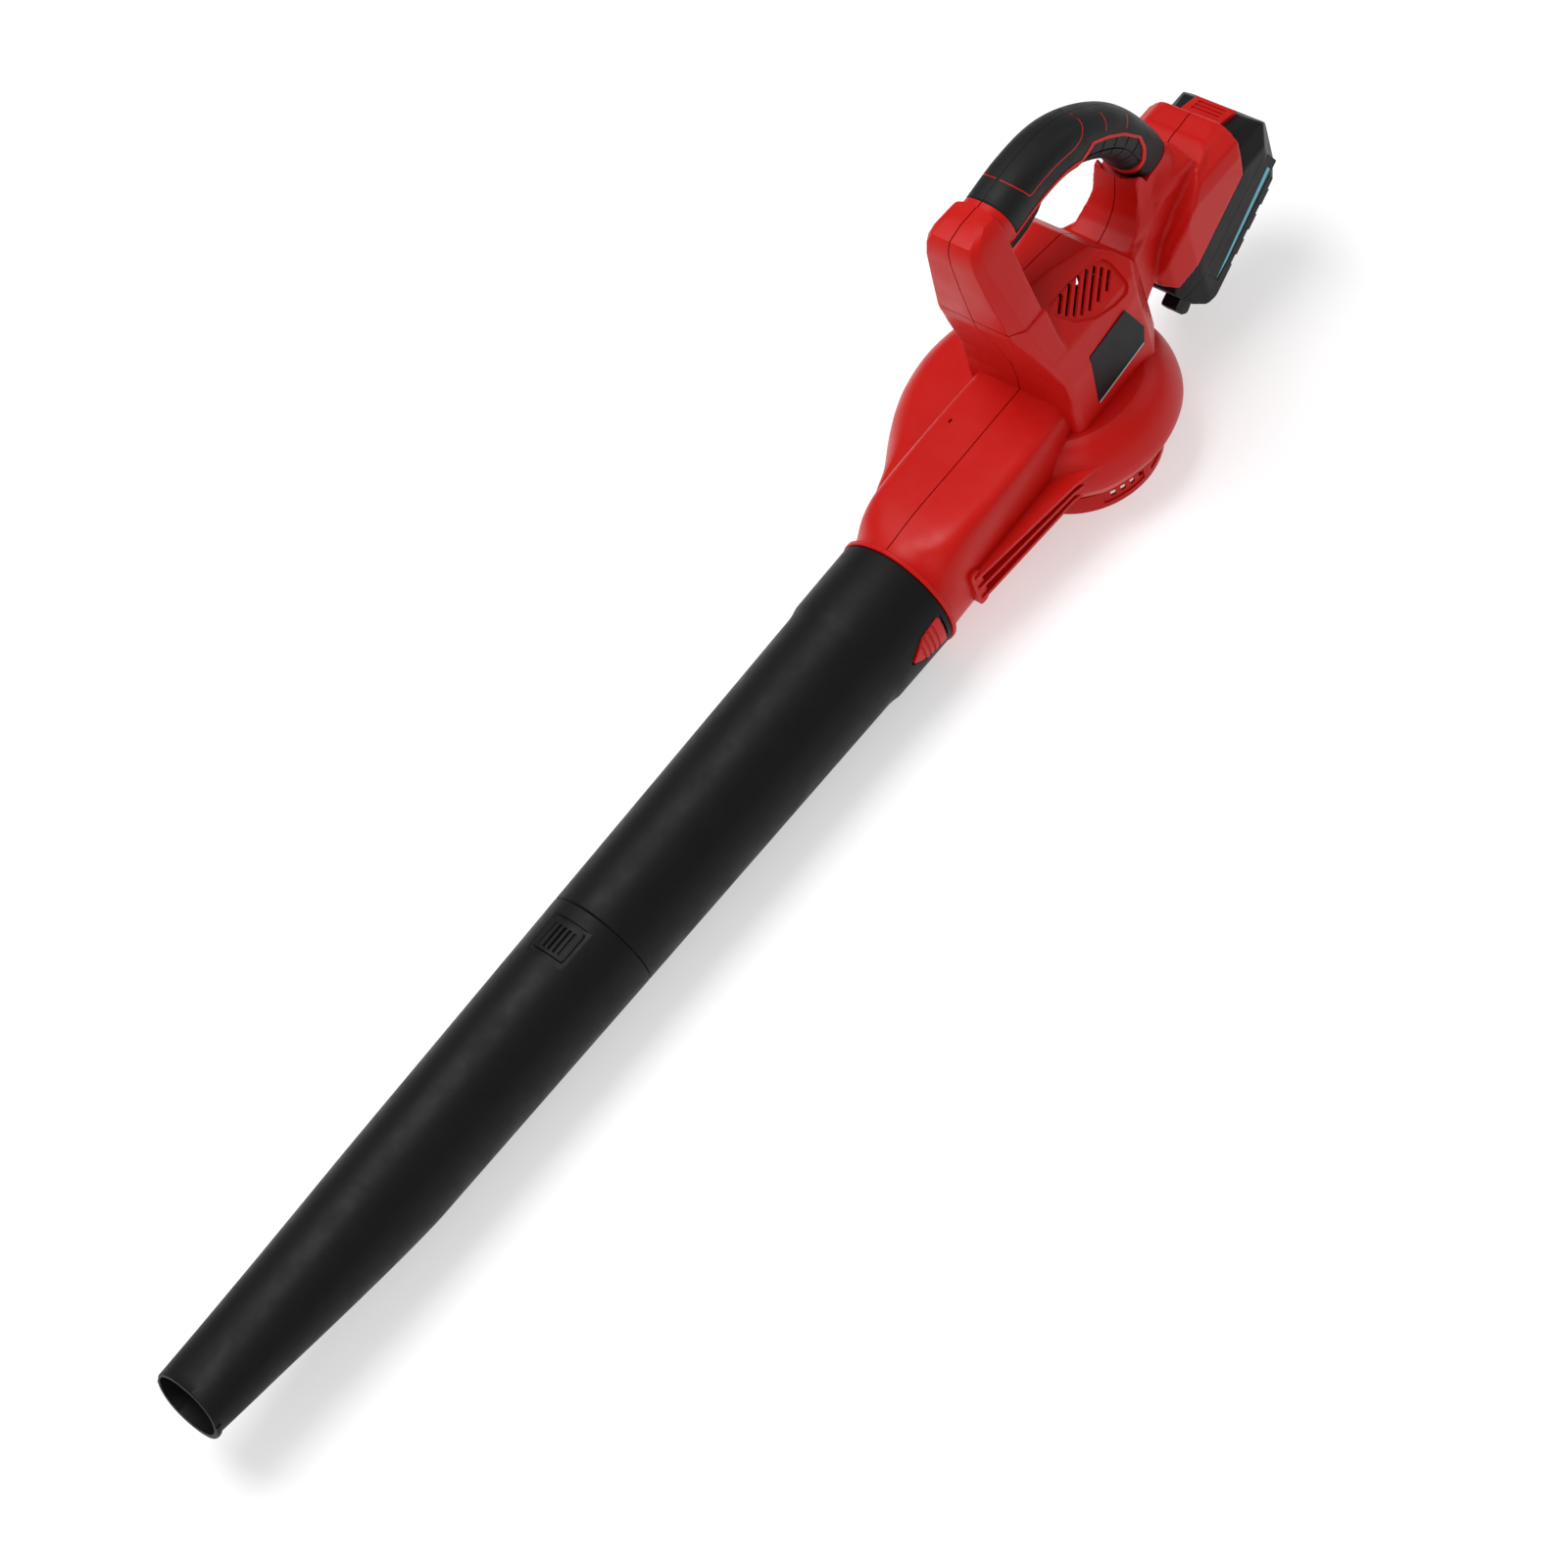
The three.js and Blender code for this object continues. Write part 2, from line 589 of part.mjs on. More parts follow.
function impeller() {
  const R = FAN.wheelRadius;
  const top = FAN.wheelTop;
  const plate = turned([
    [0, top], [R, top], [R, top - 2], [14, top - 2], [12, top - 22], [0, top - 22], [0, top],
  ]);
  const shroud = turned([[40, 26], [R, 32], [R, 34], [40, 28], [40, 26]]);
  const belowShroud = turned([
    [0, 20], [R + 9, 20], [R + 9, 33], [R, 33], [40, 27], [0, 27], [0, 20],
  ]);
  const blades = Array.from({ length: 8 }, (_, i) => {
    const start = (i / 8) * 2 * Math.PI;
    const outer = [];
    const inner = [];
    for (let k = 0; k <= 3; k += 1) {
      const r = 24 + (R - 25) * (k / 3);
      const angle = start - 0.75 * (k / 3);
      outer.push([r * Math.cos(angle), r * Math.sin(angle)]);
      inner.unshift([r * Math.cos(angle + 1.8 / r), r * Math.sin(angle + 1.8 / r)]);
    }
    return planSolid([...outer, ...inner].reverse(), 28, top - 1);
  });
  const trimmed = cut(join(...blades), belowShroud);
  const bore = rod([0, 0, 30], [0, 0, 80], MOTOR.shaftRadius + GAP / 2, 16);
  return cut(join(plate, shroud, trimmed), bore);
}

const motorShaft = () => rod([0, 0, 36], [0, 0, MOTOR.top + 6], MOTOR.shaftRadius, 16);

// A ring or block round the motor shaft.
function shaftSleeve(outer, inner, z0, z1, sides = 24) {
  const body = rod([0, 0, z0], [0, 0, z1], outer, sides);
  return cut(body, rod([0, 0, z0 - 1], [0, 0, z1 + 1], inner, 16));
}

function motorCan() {
  const { radius, bottom, top } = MOTOR;
  const body = rod([0, 0, bottom], [0, 0, top - 8], radius, 36);
  const hollow = rod([0, 0, bottom + 2], [0, 0, top], radius - 2, 36);
  const windows = Array.from({ length: 4 }, (_, i) => {
    const window = new THREE.BoxGeometry(12, 10, 12);
    window.translate(radius, 0, bottom + 12);
    window.rotateZ((i / 4) * 2 * Math.PI + 0.6);
    return toSolid(window);
  });
  return cut(body, hollow, join(...windows), rod([0, 0, bottom - 1], [0, 0, bottom + 3], 8.6, 24));
}

function motorEndBell() {
  const { radius, top } = MOTOR;
  const cap = rod([0, 0, top - 8 + GAP], [0, 0, top], radius, 36);
  const hollow = rod([0, 0, top - 10], [0, 0, top - 2.5], radius - 3, 36);
  const boss = rod([0, 0, top - 3], [0, 0, top + 3], 10, 24);
  const bearingSeat = rod([0, 0, top - 4], [0, 0, top + 2], 8.3, 24);
  return cut(join(cut(cap, hollow), boss), bearingSeat, rod([0, 0, top], [0, 0, top + 5], 4, 16));
}

function armature() {
  const core = shaftSleeve(22, MOTOR.shaftRadius + GAP / 2, 100, 132, 36);
  const slots = Array.from({ length: 12 }, (_, i) => {
    const slot = new THREE.BoxGeometry(7, 2.4, 40);
    slot.translate(19.5, 0, 116);
    slot.rotateZ((i / 12) * 2 * Math.PI);
    return toSolid(slot);
  });
  return cut(core, join(...slots));
}

function motorPlate() {
  const plate = rod([0, 0, 82 + GAP], [0, 0, 85], 36, 40);
  const holes = screwCircle(26).map(([x, y]) => rod([x, y, 80], [x, y, 88], 2.1, 10));
  return cut(plate, rod([0, 0, 80], [0, 0, 88], 6, 20), join(...holes));
}

// ---------------------------------------------------------------- small hardware

// A screw along Y whose head sits in the right shell.
function shellScrew(x, z) {
  const head = rod([x, -15.5, z], [x, -11 - GAP, z], 3.4, 12);
  const shank = rod([x, -12, z], [x, 10, z], 1.35, 8);
  const socket = box([x - 1.2, x + 1.2], [-16, -13.5], [z - 1.2, z + 1.2]);
  return cut(join(head, shank), socket);
}

function motorScrew([x, y]) {
  const head = rod([x, y, 85 + GAP], [x, y, 87.4], 3.2, 12);
  return join(head, rod([x, y, 78], [x, y, 86], 1.6, 8));
}

// A coil spring between two heights, made of an open helix.
class Helix extends THREE.Curve {
  constructor(radius, pitch, turns) {
    super();
    Object.assign(this, { radius, pitch, turns });
  }

  getPoint(t) {
    const angle = t * this.turns * 2 * Math.PI;
    return new THREE.Vector3(
      this.radius * Math.cos(angle), this.radius * Math.sin(angle), t * this.turns * this.pitch);
  }
}

function coilSpring(radius, wire, length, turns) {
  const path = new Helix(radius, (length - wire * 2) / turns, turns);
  const shape = new THREE.Shape();
  shape.absarc(0, 0, wire, 0, 2 * Math.PI);
  const geometry = new THREE.ExtrudeGeometry(shape, {
    extrudePath: path, steps: turns * 7, curveSegments: 2, bevelEnabled: false,
  });
  geometry.translate(0, 0, wire);
  return geometry;
}

// A wire through the given points.
function wire(points, radius) {
  const path = new THREE.CatmullRomCurve3(points.map((p) => new THREE.Vector3(...p)));
  const shape = new THREE.Shape();
  shape.absarc(0, 0, radius, 0, 2 * Math.PI);
  return new THREE.ExtrudeGeometry(shape, {
    extrudePath: path, steps: points.length * 2, curveSegments: 2, bevelEnabled: false,
  });
}

// ---------------------------------------------------------------- handle coverings and trigger

function gripHalf(side) {
  const outer = handleBar(0, HANDLE.gripStart + 0.002, HANDLE.gripEnd - 0.002, 10);
  const inner = handleBar(HANDLE.rubber, 0.1, 0.92, 10);
  const strip = undersideStrip(HANDLE.halfWidth + 1, 0.1, 0.92, -8.2, -HANDLE.halfHeight - 3, 10);
  return common(cut(outer, inner, strip), halfSpace(side));
}

function fingerPad() {
  const { padHalf, padStart, padEnd } = HANDLE;
  const pad = undersideStrip(padHalf, padStart, padEnd, -13.8, -17.6, 8);
  const grooves = [0.2, 0.4, 0.6, 0.8].map((share) => {
    const u = padStart + (padEnd - padStart) * share;
    return undersideStrip(padHalf + 1, u - 0.003, u + 0.003, -16.4, -19, 1);
  });
  return cut(pad, join(...grooves));
}

function trigger() {
  const outline = [
    [19.6, 237], [19.6, 219], [15, 213.5], [-6, 215.5], [-18, 219.5], [TRIGGER.rear, 223],
    [TRIGGER.rear, 228.5], [-8, 232.5], [10, 237],
  ];
  return sideSolid(outline, -TRIGGER.half, TRIGGER.half);
}

// ---------------------------------------------------------------- blow tube and nozzle

const TUBE_SIDES = 28;

// A ring about the blow tube's own axis.
const tubeRing = (x, radius) => sectionAt(x, TUBE.axis, radius, radius, 2, TUBE_SIDES);

function tubeRadius(x) {
  const share = (x - TUBE.collarEnd) / (TUBE.joint - TUBE.collarEnd);
  return THREE.MathUtils.lerp(TUBE.startRadius, TUBE.jointRadius, share);
}

function blowTube() {
  const { flange, collarEnd, stepLength, joint, collarRadius, spigotLength, jointRadius, wall } = TUBE;
  const end = joint - GAP;
  const outside = loft([
    tubeRing(flange + GAP, collarRadius + 0.4), tubeRing(collarEnd, collarRadius - 0.3),
    tubeRing(collarEnd + stepLength, tubeRadius(collarEnd + stepLength)), tubeRing(end, jointRadius),
  ]);
  const spigot = loft([
    tubeRing(end - 6, jointRadius - 3), tubeRing(joint + spigotLength, jointRadius - 3.2),
  ]);
  const socket = loft([
    tubeRing(flange - 1, collarRadius - wall - 2),
    tubeRing(flange + spigotLength + 4, collarRadius - wall - 2),
  ]);
  const bore = loft([
    tubeRing(flange + 10, jointRadius - 5.4), tubeRing(joint + spigotLength + 1, jointRadius - 5.4),
  ]);
  const room = loft([
    tubeRing(flange + spigotLength + 8, collarRadius - wall - 2.4),
    tubeRing(joint - 12, jointRadius - wall - 0.4),
  ]);
  const window = box([flange + 5.6, flange + 41.4], [30, 60], [TUBE.axis - 15.5, TUBE.axis + 15.5]);
  const key = box([joint + 8, joint + 60], [-13.5, 13.5], [TUBE.axis + jointRadius - 8, TUBE.axis + 60]);
  return cut(join(outside, spigot), socket, bore, room, latchPrism(0.35, 30, 60), window, key);
}

// The side latch is a five-sided button pointing forwards.
function latchPrism(grow, y0, y1) {
  const x = TUBE.flange;
  const outline = [
    [x + 7 - grow, TUBE.axis - 12 - grow], [x + 24, TUBE.axis - 9.5 - grow], [x + 38 + grow, TUBE.axis],
    [x + 24, TUBE.axis + 9.5 + grow], [x + 7 - grow, TUBE.axis + 12 + grow],
  ];
  return sideSolid(outline, y0, y1);
}

function tubeLatchButton() {
  const { flange, collarRadius, axis } = TUBE;
  const skin = loft([tubeRing(flange - 5, collarRadius + 1.4), tubeRing(flange + 60, collarRadius + 0.9)]);
  const under = loft([tubeRing(flange - 6, collarRadius - 2.6), tubeRing(flange + 61, collarRadius - 2.6)]);
  const grooves = [16, 22, 28].map((dx) => {
    const x = flange + dx;
    return box([x - 0.7, x + 0.7], [collarRadius + 0.3, 60], [axis - 20, axis + 20]);
  });
  return cut(common(latchPrism(0, 30, 60), skin), under, ...grooves);
}

// One ring of the nozzle, inset by the wall: below the bend it is round, and towards the mouth it
// narrows and its underside sweeps up. A leaning ring has its bottom further forward.
function nozzleRing(x, inset, lean = 0) {
  const taper = TUBE.jointRadius - 0.016 * (x - TUBE.joint);
  const share = Math.max(0, (x - TUBE.bendStart) / (TUBE.mouthBottom - TUBE.bendStart));
  const bend = share ** 1.35;
  const halfWidth = THREE.MathUtils.lerp(taper, MOUTH.halfWidth, bend) - inset;
  const halfHeight = THREE.MathUtils.lerp(taper, MOUTH.halfHeight, bend) - inset;
  const rise = MOUTH.rise * bend;
  return roundedSection(halfWidth, halfHeight, 2.2, TUBE_SIDES)
    .map(([y, dz]) => new THREE.Vector3(x - (lean * dz) / MOUTH.halfHeight, y, TUBE.axis + rise + dz));
}

function nozzle() {
  const { joint, bendStart, mouthTop, mouthBottom, jointRadius, spigotLength, wall } = TUBE;
  const middle = (mouthTop + mouthBottom) / 2;
  const lean = (mouthBottom - mouthTop) / 2;
  const stations = [joint, bendStart - 40, bendStart, bendStart + 45, bendStart + 90, bendStart + 135];
  const rings = stations.map((x) => nozzleRing(x, 0));
  const outside = loft([...rings, nozzleRing(middle, 0, lean)]);
  const lip = loft([nozzleRing(middle - 4, 0, lean), nozzleRing(middle - 3, -1.1, lean),
    nozzleRing(middle - 0.6, -1.3, lean), nozzleRing(middle, -0.4, lean)]);
  const lowerLip = common(lip, box([mouthTop - 12, mouthBottom + 5], [-40, 40], [0, TUBE.axis + MOUTH.rise]));
  const boreRings = [joint + spigotLength - 6, ...stations.slice(1)].map((x) => nozzleRing(x, wall));
  const bore = loft([...boreRings, nozzleRing(middle + 12, wall, lean)]);
  const socket = loft([
    tubeRing(joint - 1, jointRadius - 2.6), tubeRing(joint + spigotLength + 4, jointRadius - 2.8),
  ]);
  return cut(join(outside, lowerLip), bore, socket, nozzleButtonBlock(0.4, 10, 26));
}

// The ribbed button on top of the nozzle, or the window it works in when grow is above zero.
function nozzleButtonBlock(grow, below, above) {
  const z = TUBE.axis + TUBE.jointRadius;
  const x = TUBE.joint + 13;
  return box([x - grow, x + 22 + grow], [-12.5 - grow, 12.5 + grow], [z - below, z + above]);
}

function nozzleLatchButton() {
  const { joint, jointRadius, axis } = TUBE;
  const top = axis + jointRadius;
  const skin = loft([tubeRing(joint, jointRadius - 0.6), tubeRing(joint + 60, jointRadius - 1.5)]);
  const under = loft([tubeRing(joint - 1, jointRadius - 2.5), tubeRing(joint + 61, jointRadius - 2.6)]);
  const nose = box([joint + 16, joint + 26], [-5, 5], [top - 5, top - 2]);
  const ribGaps = [-8, -4, 0, 4, 8].map((y) => (
    box([joint + 16, joint + 32], [y - 0.9, y + 0.9], [top - 2.3, top + 20])));
  const face = cut(common(nozzleButtonBlock(0, 10, 26), skin), under);
  return cut(join(face, nose), ...ribGaps);
}

// ---------------------------------------------------------------- battery pack

const PACK_SPLIT = -20;

// Side outline of the whole pack, in [x, z].
const packOutline = [
  [BOX.rearBottom[0] - 0.6, BOX.rearBottom[1]], [-172, 145], [-194, 139], [-203.5, 128], [-209.4, 105],
  [-206, 95], [-117, 50.6], [-107, 52], [-98, 60], [-89, 76], packPoint(PACK.front + 9, PACK.mate + GAP),
];

function packOutside() {
  const w = PACK.halfWidth;
  const plan = [[-212, 30], [-203, w], [-110, w], [-97, 33], [-86, 27],
    [-86, -27], [-97, -33], [-110, -w], [-203, -w], [-212, -30]];
  const across = [
    [-w, 40], [w, 40], [w, 122], [w - 6, 135], [w - 18, 146], [18 - w, 146], [6 - w, 135], [-w, 122],
  ];
  return common(sideSolid(packOutline, -w, w), planSolid(plan, 40, 160), frontSolid(across, -220, -80));
}

function packNeck() {
  const { neckStart, neckEnd, neckHalf, neckTop, mate } = PACK;
  return packBox([neckStart, neckEnd], [-neckHalf, neckHalf], [neckTop, mate + 3]);
}

// Rooms for the cells and for the board above them: along the slide, across, and down.
const CELL_ROOM = [[124.8, 219.2], [-33.2, 33.2], [-21.8, 1.5]];
const BOARD_ROOM = [[124.8, 200], [-24, 24], [-26, -20]];

function batteryUpperCase() {
  const whole = join(packOutside(), packNeck());
  const upper = common(whole, packBox([90, 260], [-60, 60], [-90, PACK_SPLIT - GAP / 2]));
  const { neckStart, neckEnd, neckTop } = PACK;
  const neckRoom = packBox([neckStart + 4, neckEnd - 14], [-24, 24], [neckTop + 2, PACK_SPLIT]);
  const contactSlots = [-14, 14].map((y) => (
    packBox([neckStart - 2, neckStart + 20], [y - 2, y + 2], [neckTop - 2, neckTop + 9])));
  const rooms = join(packBox(...CELL_ROOM), packBox(...BOARD_ROOM), neckRoom, releaseButtonBlock(0.4, 16));
  return cut(upper, rooms, ...contactSlots, stripSeats());
}

function batteryLowerCase() {
  const lower = common(packOutside(), packBox([90, 260], [-60, 60], [PACK_SPLIT + GAP / 2, 20]));
  const feet = [packBox([106, 124], [14, 26], [-15, -1]), packBox([106, 124], [-26, -14], [-15, -1])];
  return cut(join(lower, ...feet), packBox(...CELL_ROOM), stripSeats());
}

// The way the release button is pressed: square to the sloping top of the pack's end block.
const PRESS = new THREE.Vector3(0.262, 0, -0.965);

// The button standing proud of the slope by a lift, or the hole it works in when grow is above zero.
function releaseButtonBlock(grow, depth) {
  const front = [-176.5, 145.4];
  const rear = [-193.8, 140.7];
  const along = [PRESS.z, -PRESS.x];
  const f = [front[0] - along[0] * grow, front[1] - along[1] * grow];
  const r = [rear[0] + along[0] * grow, rear[1] + along[1] * grow];
  const top = grow > 0 ? 9 : 1.2;
  const outline = [
    [f[0] - PRESS.x * top, f[1] - PRESS.z * top], [r[0] - PRESS.x * top, r[1] - PRESS.z * top],
    [r[0] + PRESS.x * depth, r[1] + PRESS.z * depth], [f[0] + PRESS.x * depth, f[1] + PRESS.z * depth],
  ];
  return sideSolid(outline, -16 - grow, 16 + grow);
}

function releaseButton() {
  const grooves = [-182, -185.6, -189.2].map((x) => {
    const z = 145.6 + (x + 176.5) * 0.27;
    return box([x - 0.8, x + 0.8], [-11, 11], [z, z + 5]);
  });
  return cut(releaseButtonBlock(0, 5), ...grooves);
}

// Shallow seats on both sides for the printed strips.
function stripOutline(grow) {
  const ends = [136 - grow, 222 + grow];
  const edges = [-15 - grow, -2 + grow];
  return [
    packPoint(ends[0], edges[0]), packPoint(ends[1], edges[0]),
    packPoint(ends[1], edges[1]), packPoint(ends[0], edges[1]),
  ];
}

function stripSeats() {
  const w = PACK.halfWidth;
  return join(sideSolid(stripOutline(GAP), w - 1, w + 2), sideSolid(stripOutline(GAP), -w - 2, -w + 1));
}

function sideStrip(side) {
  const near = side * (PACK.halfWidth - 1 + GAP);
  const far = side * (PACK.halfWidth - 0.1);
  return sideSolid(stripOutline(0), Math.min(near, far), Math.max(near, far));
}

// ---------------------------------------------------------------- assembly

const blower = new THREE.Group();
blower.name = 'leaf_blower';

const FINISH = {
  red: { color: COLOURS.red, roughness: 0.42, metalness: 0 },
  black: { color: COLOURS.black, roughness: 0.5, metalness: 0 },
  rubber: { color: COLOURS.rubber, roughness: 0.75, metalness: 0 },
  steel: { color: COLOURS.steel, roughness: 0.35, metalness: 0.9 },
  copper: { color: COLOURS.copper, roughness: 0.4, metalness: 0.8 },
  brass: { color: COLOURS.brass, roughness: 0.35, metalness: 0.8 },
  board: { color: COLOURS.board, roughness: 0.6, metalness: 0 },
  cell: { color: COLOURS.cell, roughness: 0.45, metalness: 0 },
  stripe: { color: COLOURS.stripe, roughness: 0.4, metalness: 0 },
  fibre: { color: COLOURS.fibre, roughness: 0.55, metalness: 0 },
};

function place(name, finish, shape, parent = blower) {
  const geometry = shape.isBufferGeometry ? shape : toGeometry(shape);
  const mesh = new THREE.Mesh(geometry, new THREE.MeshStandardMaterial(FINISH[finish]));
  mesh.name = name;
  parent.add(mesh);
  return mesh;
}

function addHousing() {
  place('left_housing_shell', 'red', housingShell(1));
  place('right_housing_shell', 'red', housingShell(-1));
  place('intake_cover', 'red', intakeCover());
  place('intake_grille', 'red', intakeGrille());
  SCREW_PLACES.forEach(([x, z], i) => place(`housing_screw_${i + 1}`, 'steel', shellScrew(x, z)));
  const label = [[12.5, 87.6], [8.6, 129.5], [-29.8, 134], [-41.4, 106], [-37.5, 93.5]];
  place('left_label_plate', 'black', sideSolid(label, 45.4 + GAP, 46.4));
  place('right_label_plate', 'black', sideSolid(label, -46.4, -45.4 - GAP));
}

function addFanAndMotor() {
  const { bottom, top, shaftRadius } = MOTOR;
  place('impeller', 'fibre', impeller());
  place('impeller_nut', 'steel', shaftSleeve(5.5, shaftRadius + GAP / 2, 38, 43.6, 6));
  place('motor_shaft', 'steel', motorShaft());
  place('armature', 'copper', armature());
  place('commutator', 'brass', shaftSleeve(8, shaftRadius + GAP / 2, 134, 143, 24));
  place('motor_can', 'steel', motorCan());
  place('motor_end_bell', 'black', motorEndBell());
  place('lower_bearing', 'steel', shaftSleeve(8.2, shaftRadius + 0.2, bottom - 2, bottom + 4));
  place('upper_bearing', 'steel', shaftSleeve(8, shaftRadius + 0.2, top - 3.4, top + 1.6));
  place('motor_mount_plate', 'steel', motorPlate());
  screwCircle(26).forEach((spot, i) => place(`motor_screw_${i + 1}`, 'steel', motorScrew(spot)));
}

function addHandle() {
  place('left_grip_overmould', 'rubber', gripHalf(1));
  place('right_grip_overmould', 'rubber', gripHalf(-1));
  place('finger_grip_pad', 'rubber', fingerPad());
  place('trigger', 'black', trigger());
  place('power_switch', 'black', box([-24, 8], [-7, 7], [241, 252]));
  const spring = place('trigger_spring', 'steel', coilSpring(2.6, 0.45, 7.2, 4));
  spring.position.set(-13, 0, 232.8);
}

function addElectronics() {
  place('speed_controller_board', 'board', box([43.5, 45.1], [-12, 12], [188, 216]));
  place('smoothing_capacitor', 'cell', rod([34, 0, 192], [34, 0, 214], 5, 20));
  place('terminal_block', 'black', packBox([136, 158], [-20, 20], [-62, -48.4]));
  [['left_contact_blade', 14], ['right_contact_blade', -14]].forEach(([name, y]) => {
    place(name, 'brass', packBox([128, 135.6], [y - 0.5, y + 0.5], [-55, -40]));
  });
}

function addWires() {
  place('battery_lead', 'red', wire([
    [-120, 5, 149], [-110, 5, 170], [-104, 5, 190], [-92, 5, 211], [-71, 5, 231], [-50, 5, 243],
    [-27, 5, 247],
  ], 1.5));
  const motorRun = [
    [10, 4, 247], [22, 7, 243], [28, 9, 230], [28, 11, 205], [27, 10, 176], [20, 9, 162], [10, 8, 156],
  ];
  place('motor_lead', 'red', wire(motorRun, 1.5));
  place('motor_return_lead', 'black', wire(motorRun.map(([x, y, z]) => [x, -y, z]), 1.5));
}

function addTubes() {
  place('blow_tube', 'black', blowTube());
  place('tube_latch_button', 'red', tubeLatchButton());
  place('nozzle', 'black', nozzle());
  place('nozzle_latch_button', 'black', nozzleLatchButton());
}

function addBattery() {
  place('battery_upper_case', 'black', batteryUpperCase());
  place('battery_lower_case', 'black', batteryLowerCase());
  place('battery_release_button', 'red', releaseButton());
  place('left_battery_strip', 'stripe', sideStrip(1));
  place('right_battery_strip', 'stripe', sideStrip(-1));
  for (let i = 0; i < CELL.count; i += 1) {
    const [x, z] = packPoint(CELL.first + i * CELL.pitch, CELL.level);
    const cell = rod([x, -CELL.length / 2, z], [x, CELL.length / 2, z], CELL.radius, 16);
    place(`battery_cell_${i + 1}`, 'cell', cell);
  }
  place('battery_circuit_board', 'board', packBox([126, 196], [-22, 22], [-24.4, -22.8]));
}

addHousing();
addFanAndMotor();
addHandle();
addElectronics();
addWires();
addTubes();
addBattery();

export default blower;
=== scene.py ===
"""Looks of a cordless leaf blower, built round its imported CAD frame.

Lengths below are in millimetres, in the frame of the part: +X to the nozzle, +Y to the left side,
+Z up, with the origin on the fan axis at the bottom of the intake grille.
"""

import math
from bisect import bisect_right
from fnmatch import fnmatch

import bmesh
import bpy
from mathutils import Matrix, Vector


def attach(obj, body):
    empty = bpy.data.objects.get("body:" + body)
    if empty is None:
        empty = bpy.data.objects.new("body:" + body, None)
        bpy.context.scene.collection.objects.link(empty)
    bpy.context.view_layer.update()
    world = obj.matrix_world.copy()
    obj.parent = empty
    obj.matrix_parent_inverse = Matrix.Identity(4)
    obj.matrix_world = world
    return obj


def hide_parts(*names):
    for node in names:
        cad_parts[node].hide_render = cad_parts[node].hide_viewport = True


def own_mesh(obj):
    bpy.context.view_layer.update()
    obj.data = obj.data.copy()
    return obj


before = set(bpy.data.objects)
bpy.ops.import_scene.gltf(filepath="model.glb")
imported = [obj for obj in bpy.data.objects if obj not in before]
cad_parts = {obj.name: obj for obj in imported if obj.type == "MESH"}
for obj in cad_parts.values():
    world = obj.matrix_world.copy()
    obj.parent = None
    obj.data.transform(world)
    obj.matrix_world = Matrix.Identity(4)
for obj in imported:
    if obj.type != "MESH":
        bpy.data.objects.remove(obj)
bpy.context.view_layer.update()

# ---- driving dimensions

MM = 0.001
GAP = 0.3
WALL = 2.5

EQUATOR = 46.0
VOLUTE_HALF = 33.0
RIM_DEPTH = 25.0
DISH_DEPTH = 24.0
GRILLE_TOP = 17.5
GRILLE_RADIUS = 56.2
INLET_RADIUS = 44.0

AXIS = 53.6                  # height of the blow tube's axis
FLANGE = 179.3
COLLAR_RADIUS = 43.4
COLLAR_END = 234.0
JOINT = 476.3                # where the nozzle plugs on
JOINT_RADIUS = 38.1
TUBE_WALL = 2.0
SPIGOT_LENGTH = 34.0
SPIGOT_END = FLANGE + SPIGOT_LENGTH
TUBE_END = JOINT + SPIGOT_LENGTH
TUBE_SOCKET = COLLAR_RADIUS - TUBE_WALL - 2
DUCT_BORE = COLLAR_RADIUS - TUBE_WALL - 5
BEND_START = 670.0
MOUTH_TOP = 843.0
MOUTH_BOTTOM = 855.0
MOUTH_HALF_WIDTH = 26.0
MOUTH_HALF_HEIGHT = 17.0
MOUTH_RISE = 13.8

BAR_HALF_WIDTH = 18.5        # handle section, across and along its own normal
BAR_HALF_HEIGHT = 17.0
BAR_SQUARENESS = 2.4
RUBBER = 2.4
GRIP_START = 0.12
GRIP_END = 0.895
RIB_TOP = -6.6               # the bare red rib fills the bar below this line
RIB_END = 0.46               # share of the path where the rib meets the finger pad

TILT = math.radians(26.5)
SLIDE = Vector((-math.cos(TILT), 0, math.sin(TILT)))
DOWN = Vector((-math.sin(TILT), 0, -math.cos(TILT)))
PACK_HALF = 37.5
PACK_SPLIT = -20.0
MATE = -35.0
NECK = ((121, 214), (-29, 29), (-47, -32))

SEAM_HALF = 0.42             # half-width and depth of the line where the two shells meet
SEAM_DEPTH = 1.3

FINE = 1.2                   # voxel size for the moulded housing
SIDES = 128                  # facets round a turned piece
STRETCH_DOTS = 40            # dots along a curve between two of its points
SHARP = math.radians(32)     # edges above this angle stay crisp


def smoothstep(x, low, high):
    t = min(1.0, max(0.0, (x - low) / (high - low)))
    return t * t * (3 - 2 * t)


def lerp(a, b, t):
    return a + (b - a) * t


def steps(low, high, count):
    """Evenly spaced values from low to high, both included."""
    return [lerp(low, high, i / count) for i in range(count + 1)]


# ---- curves and outlines


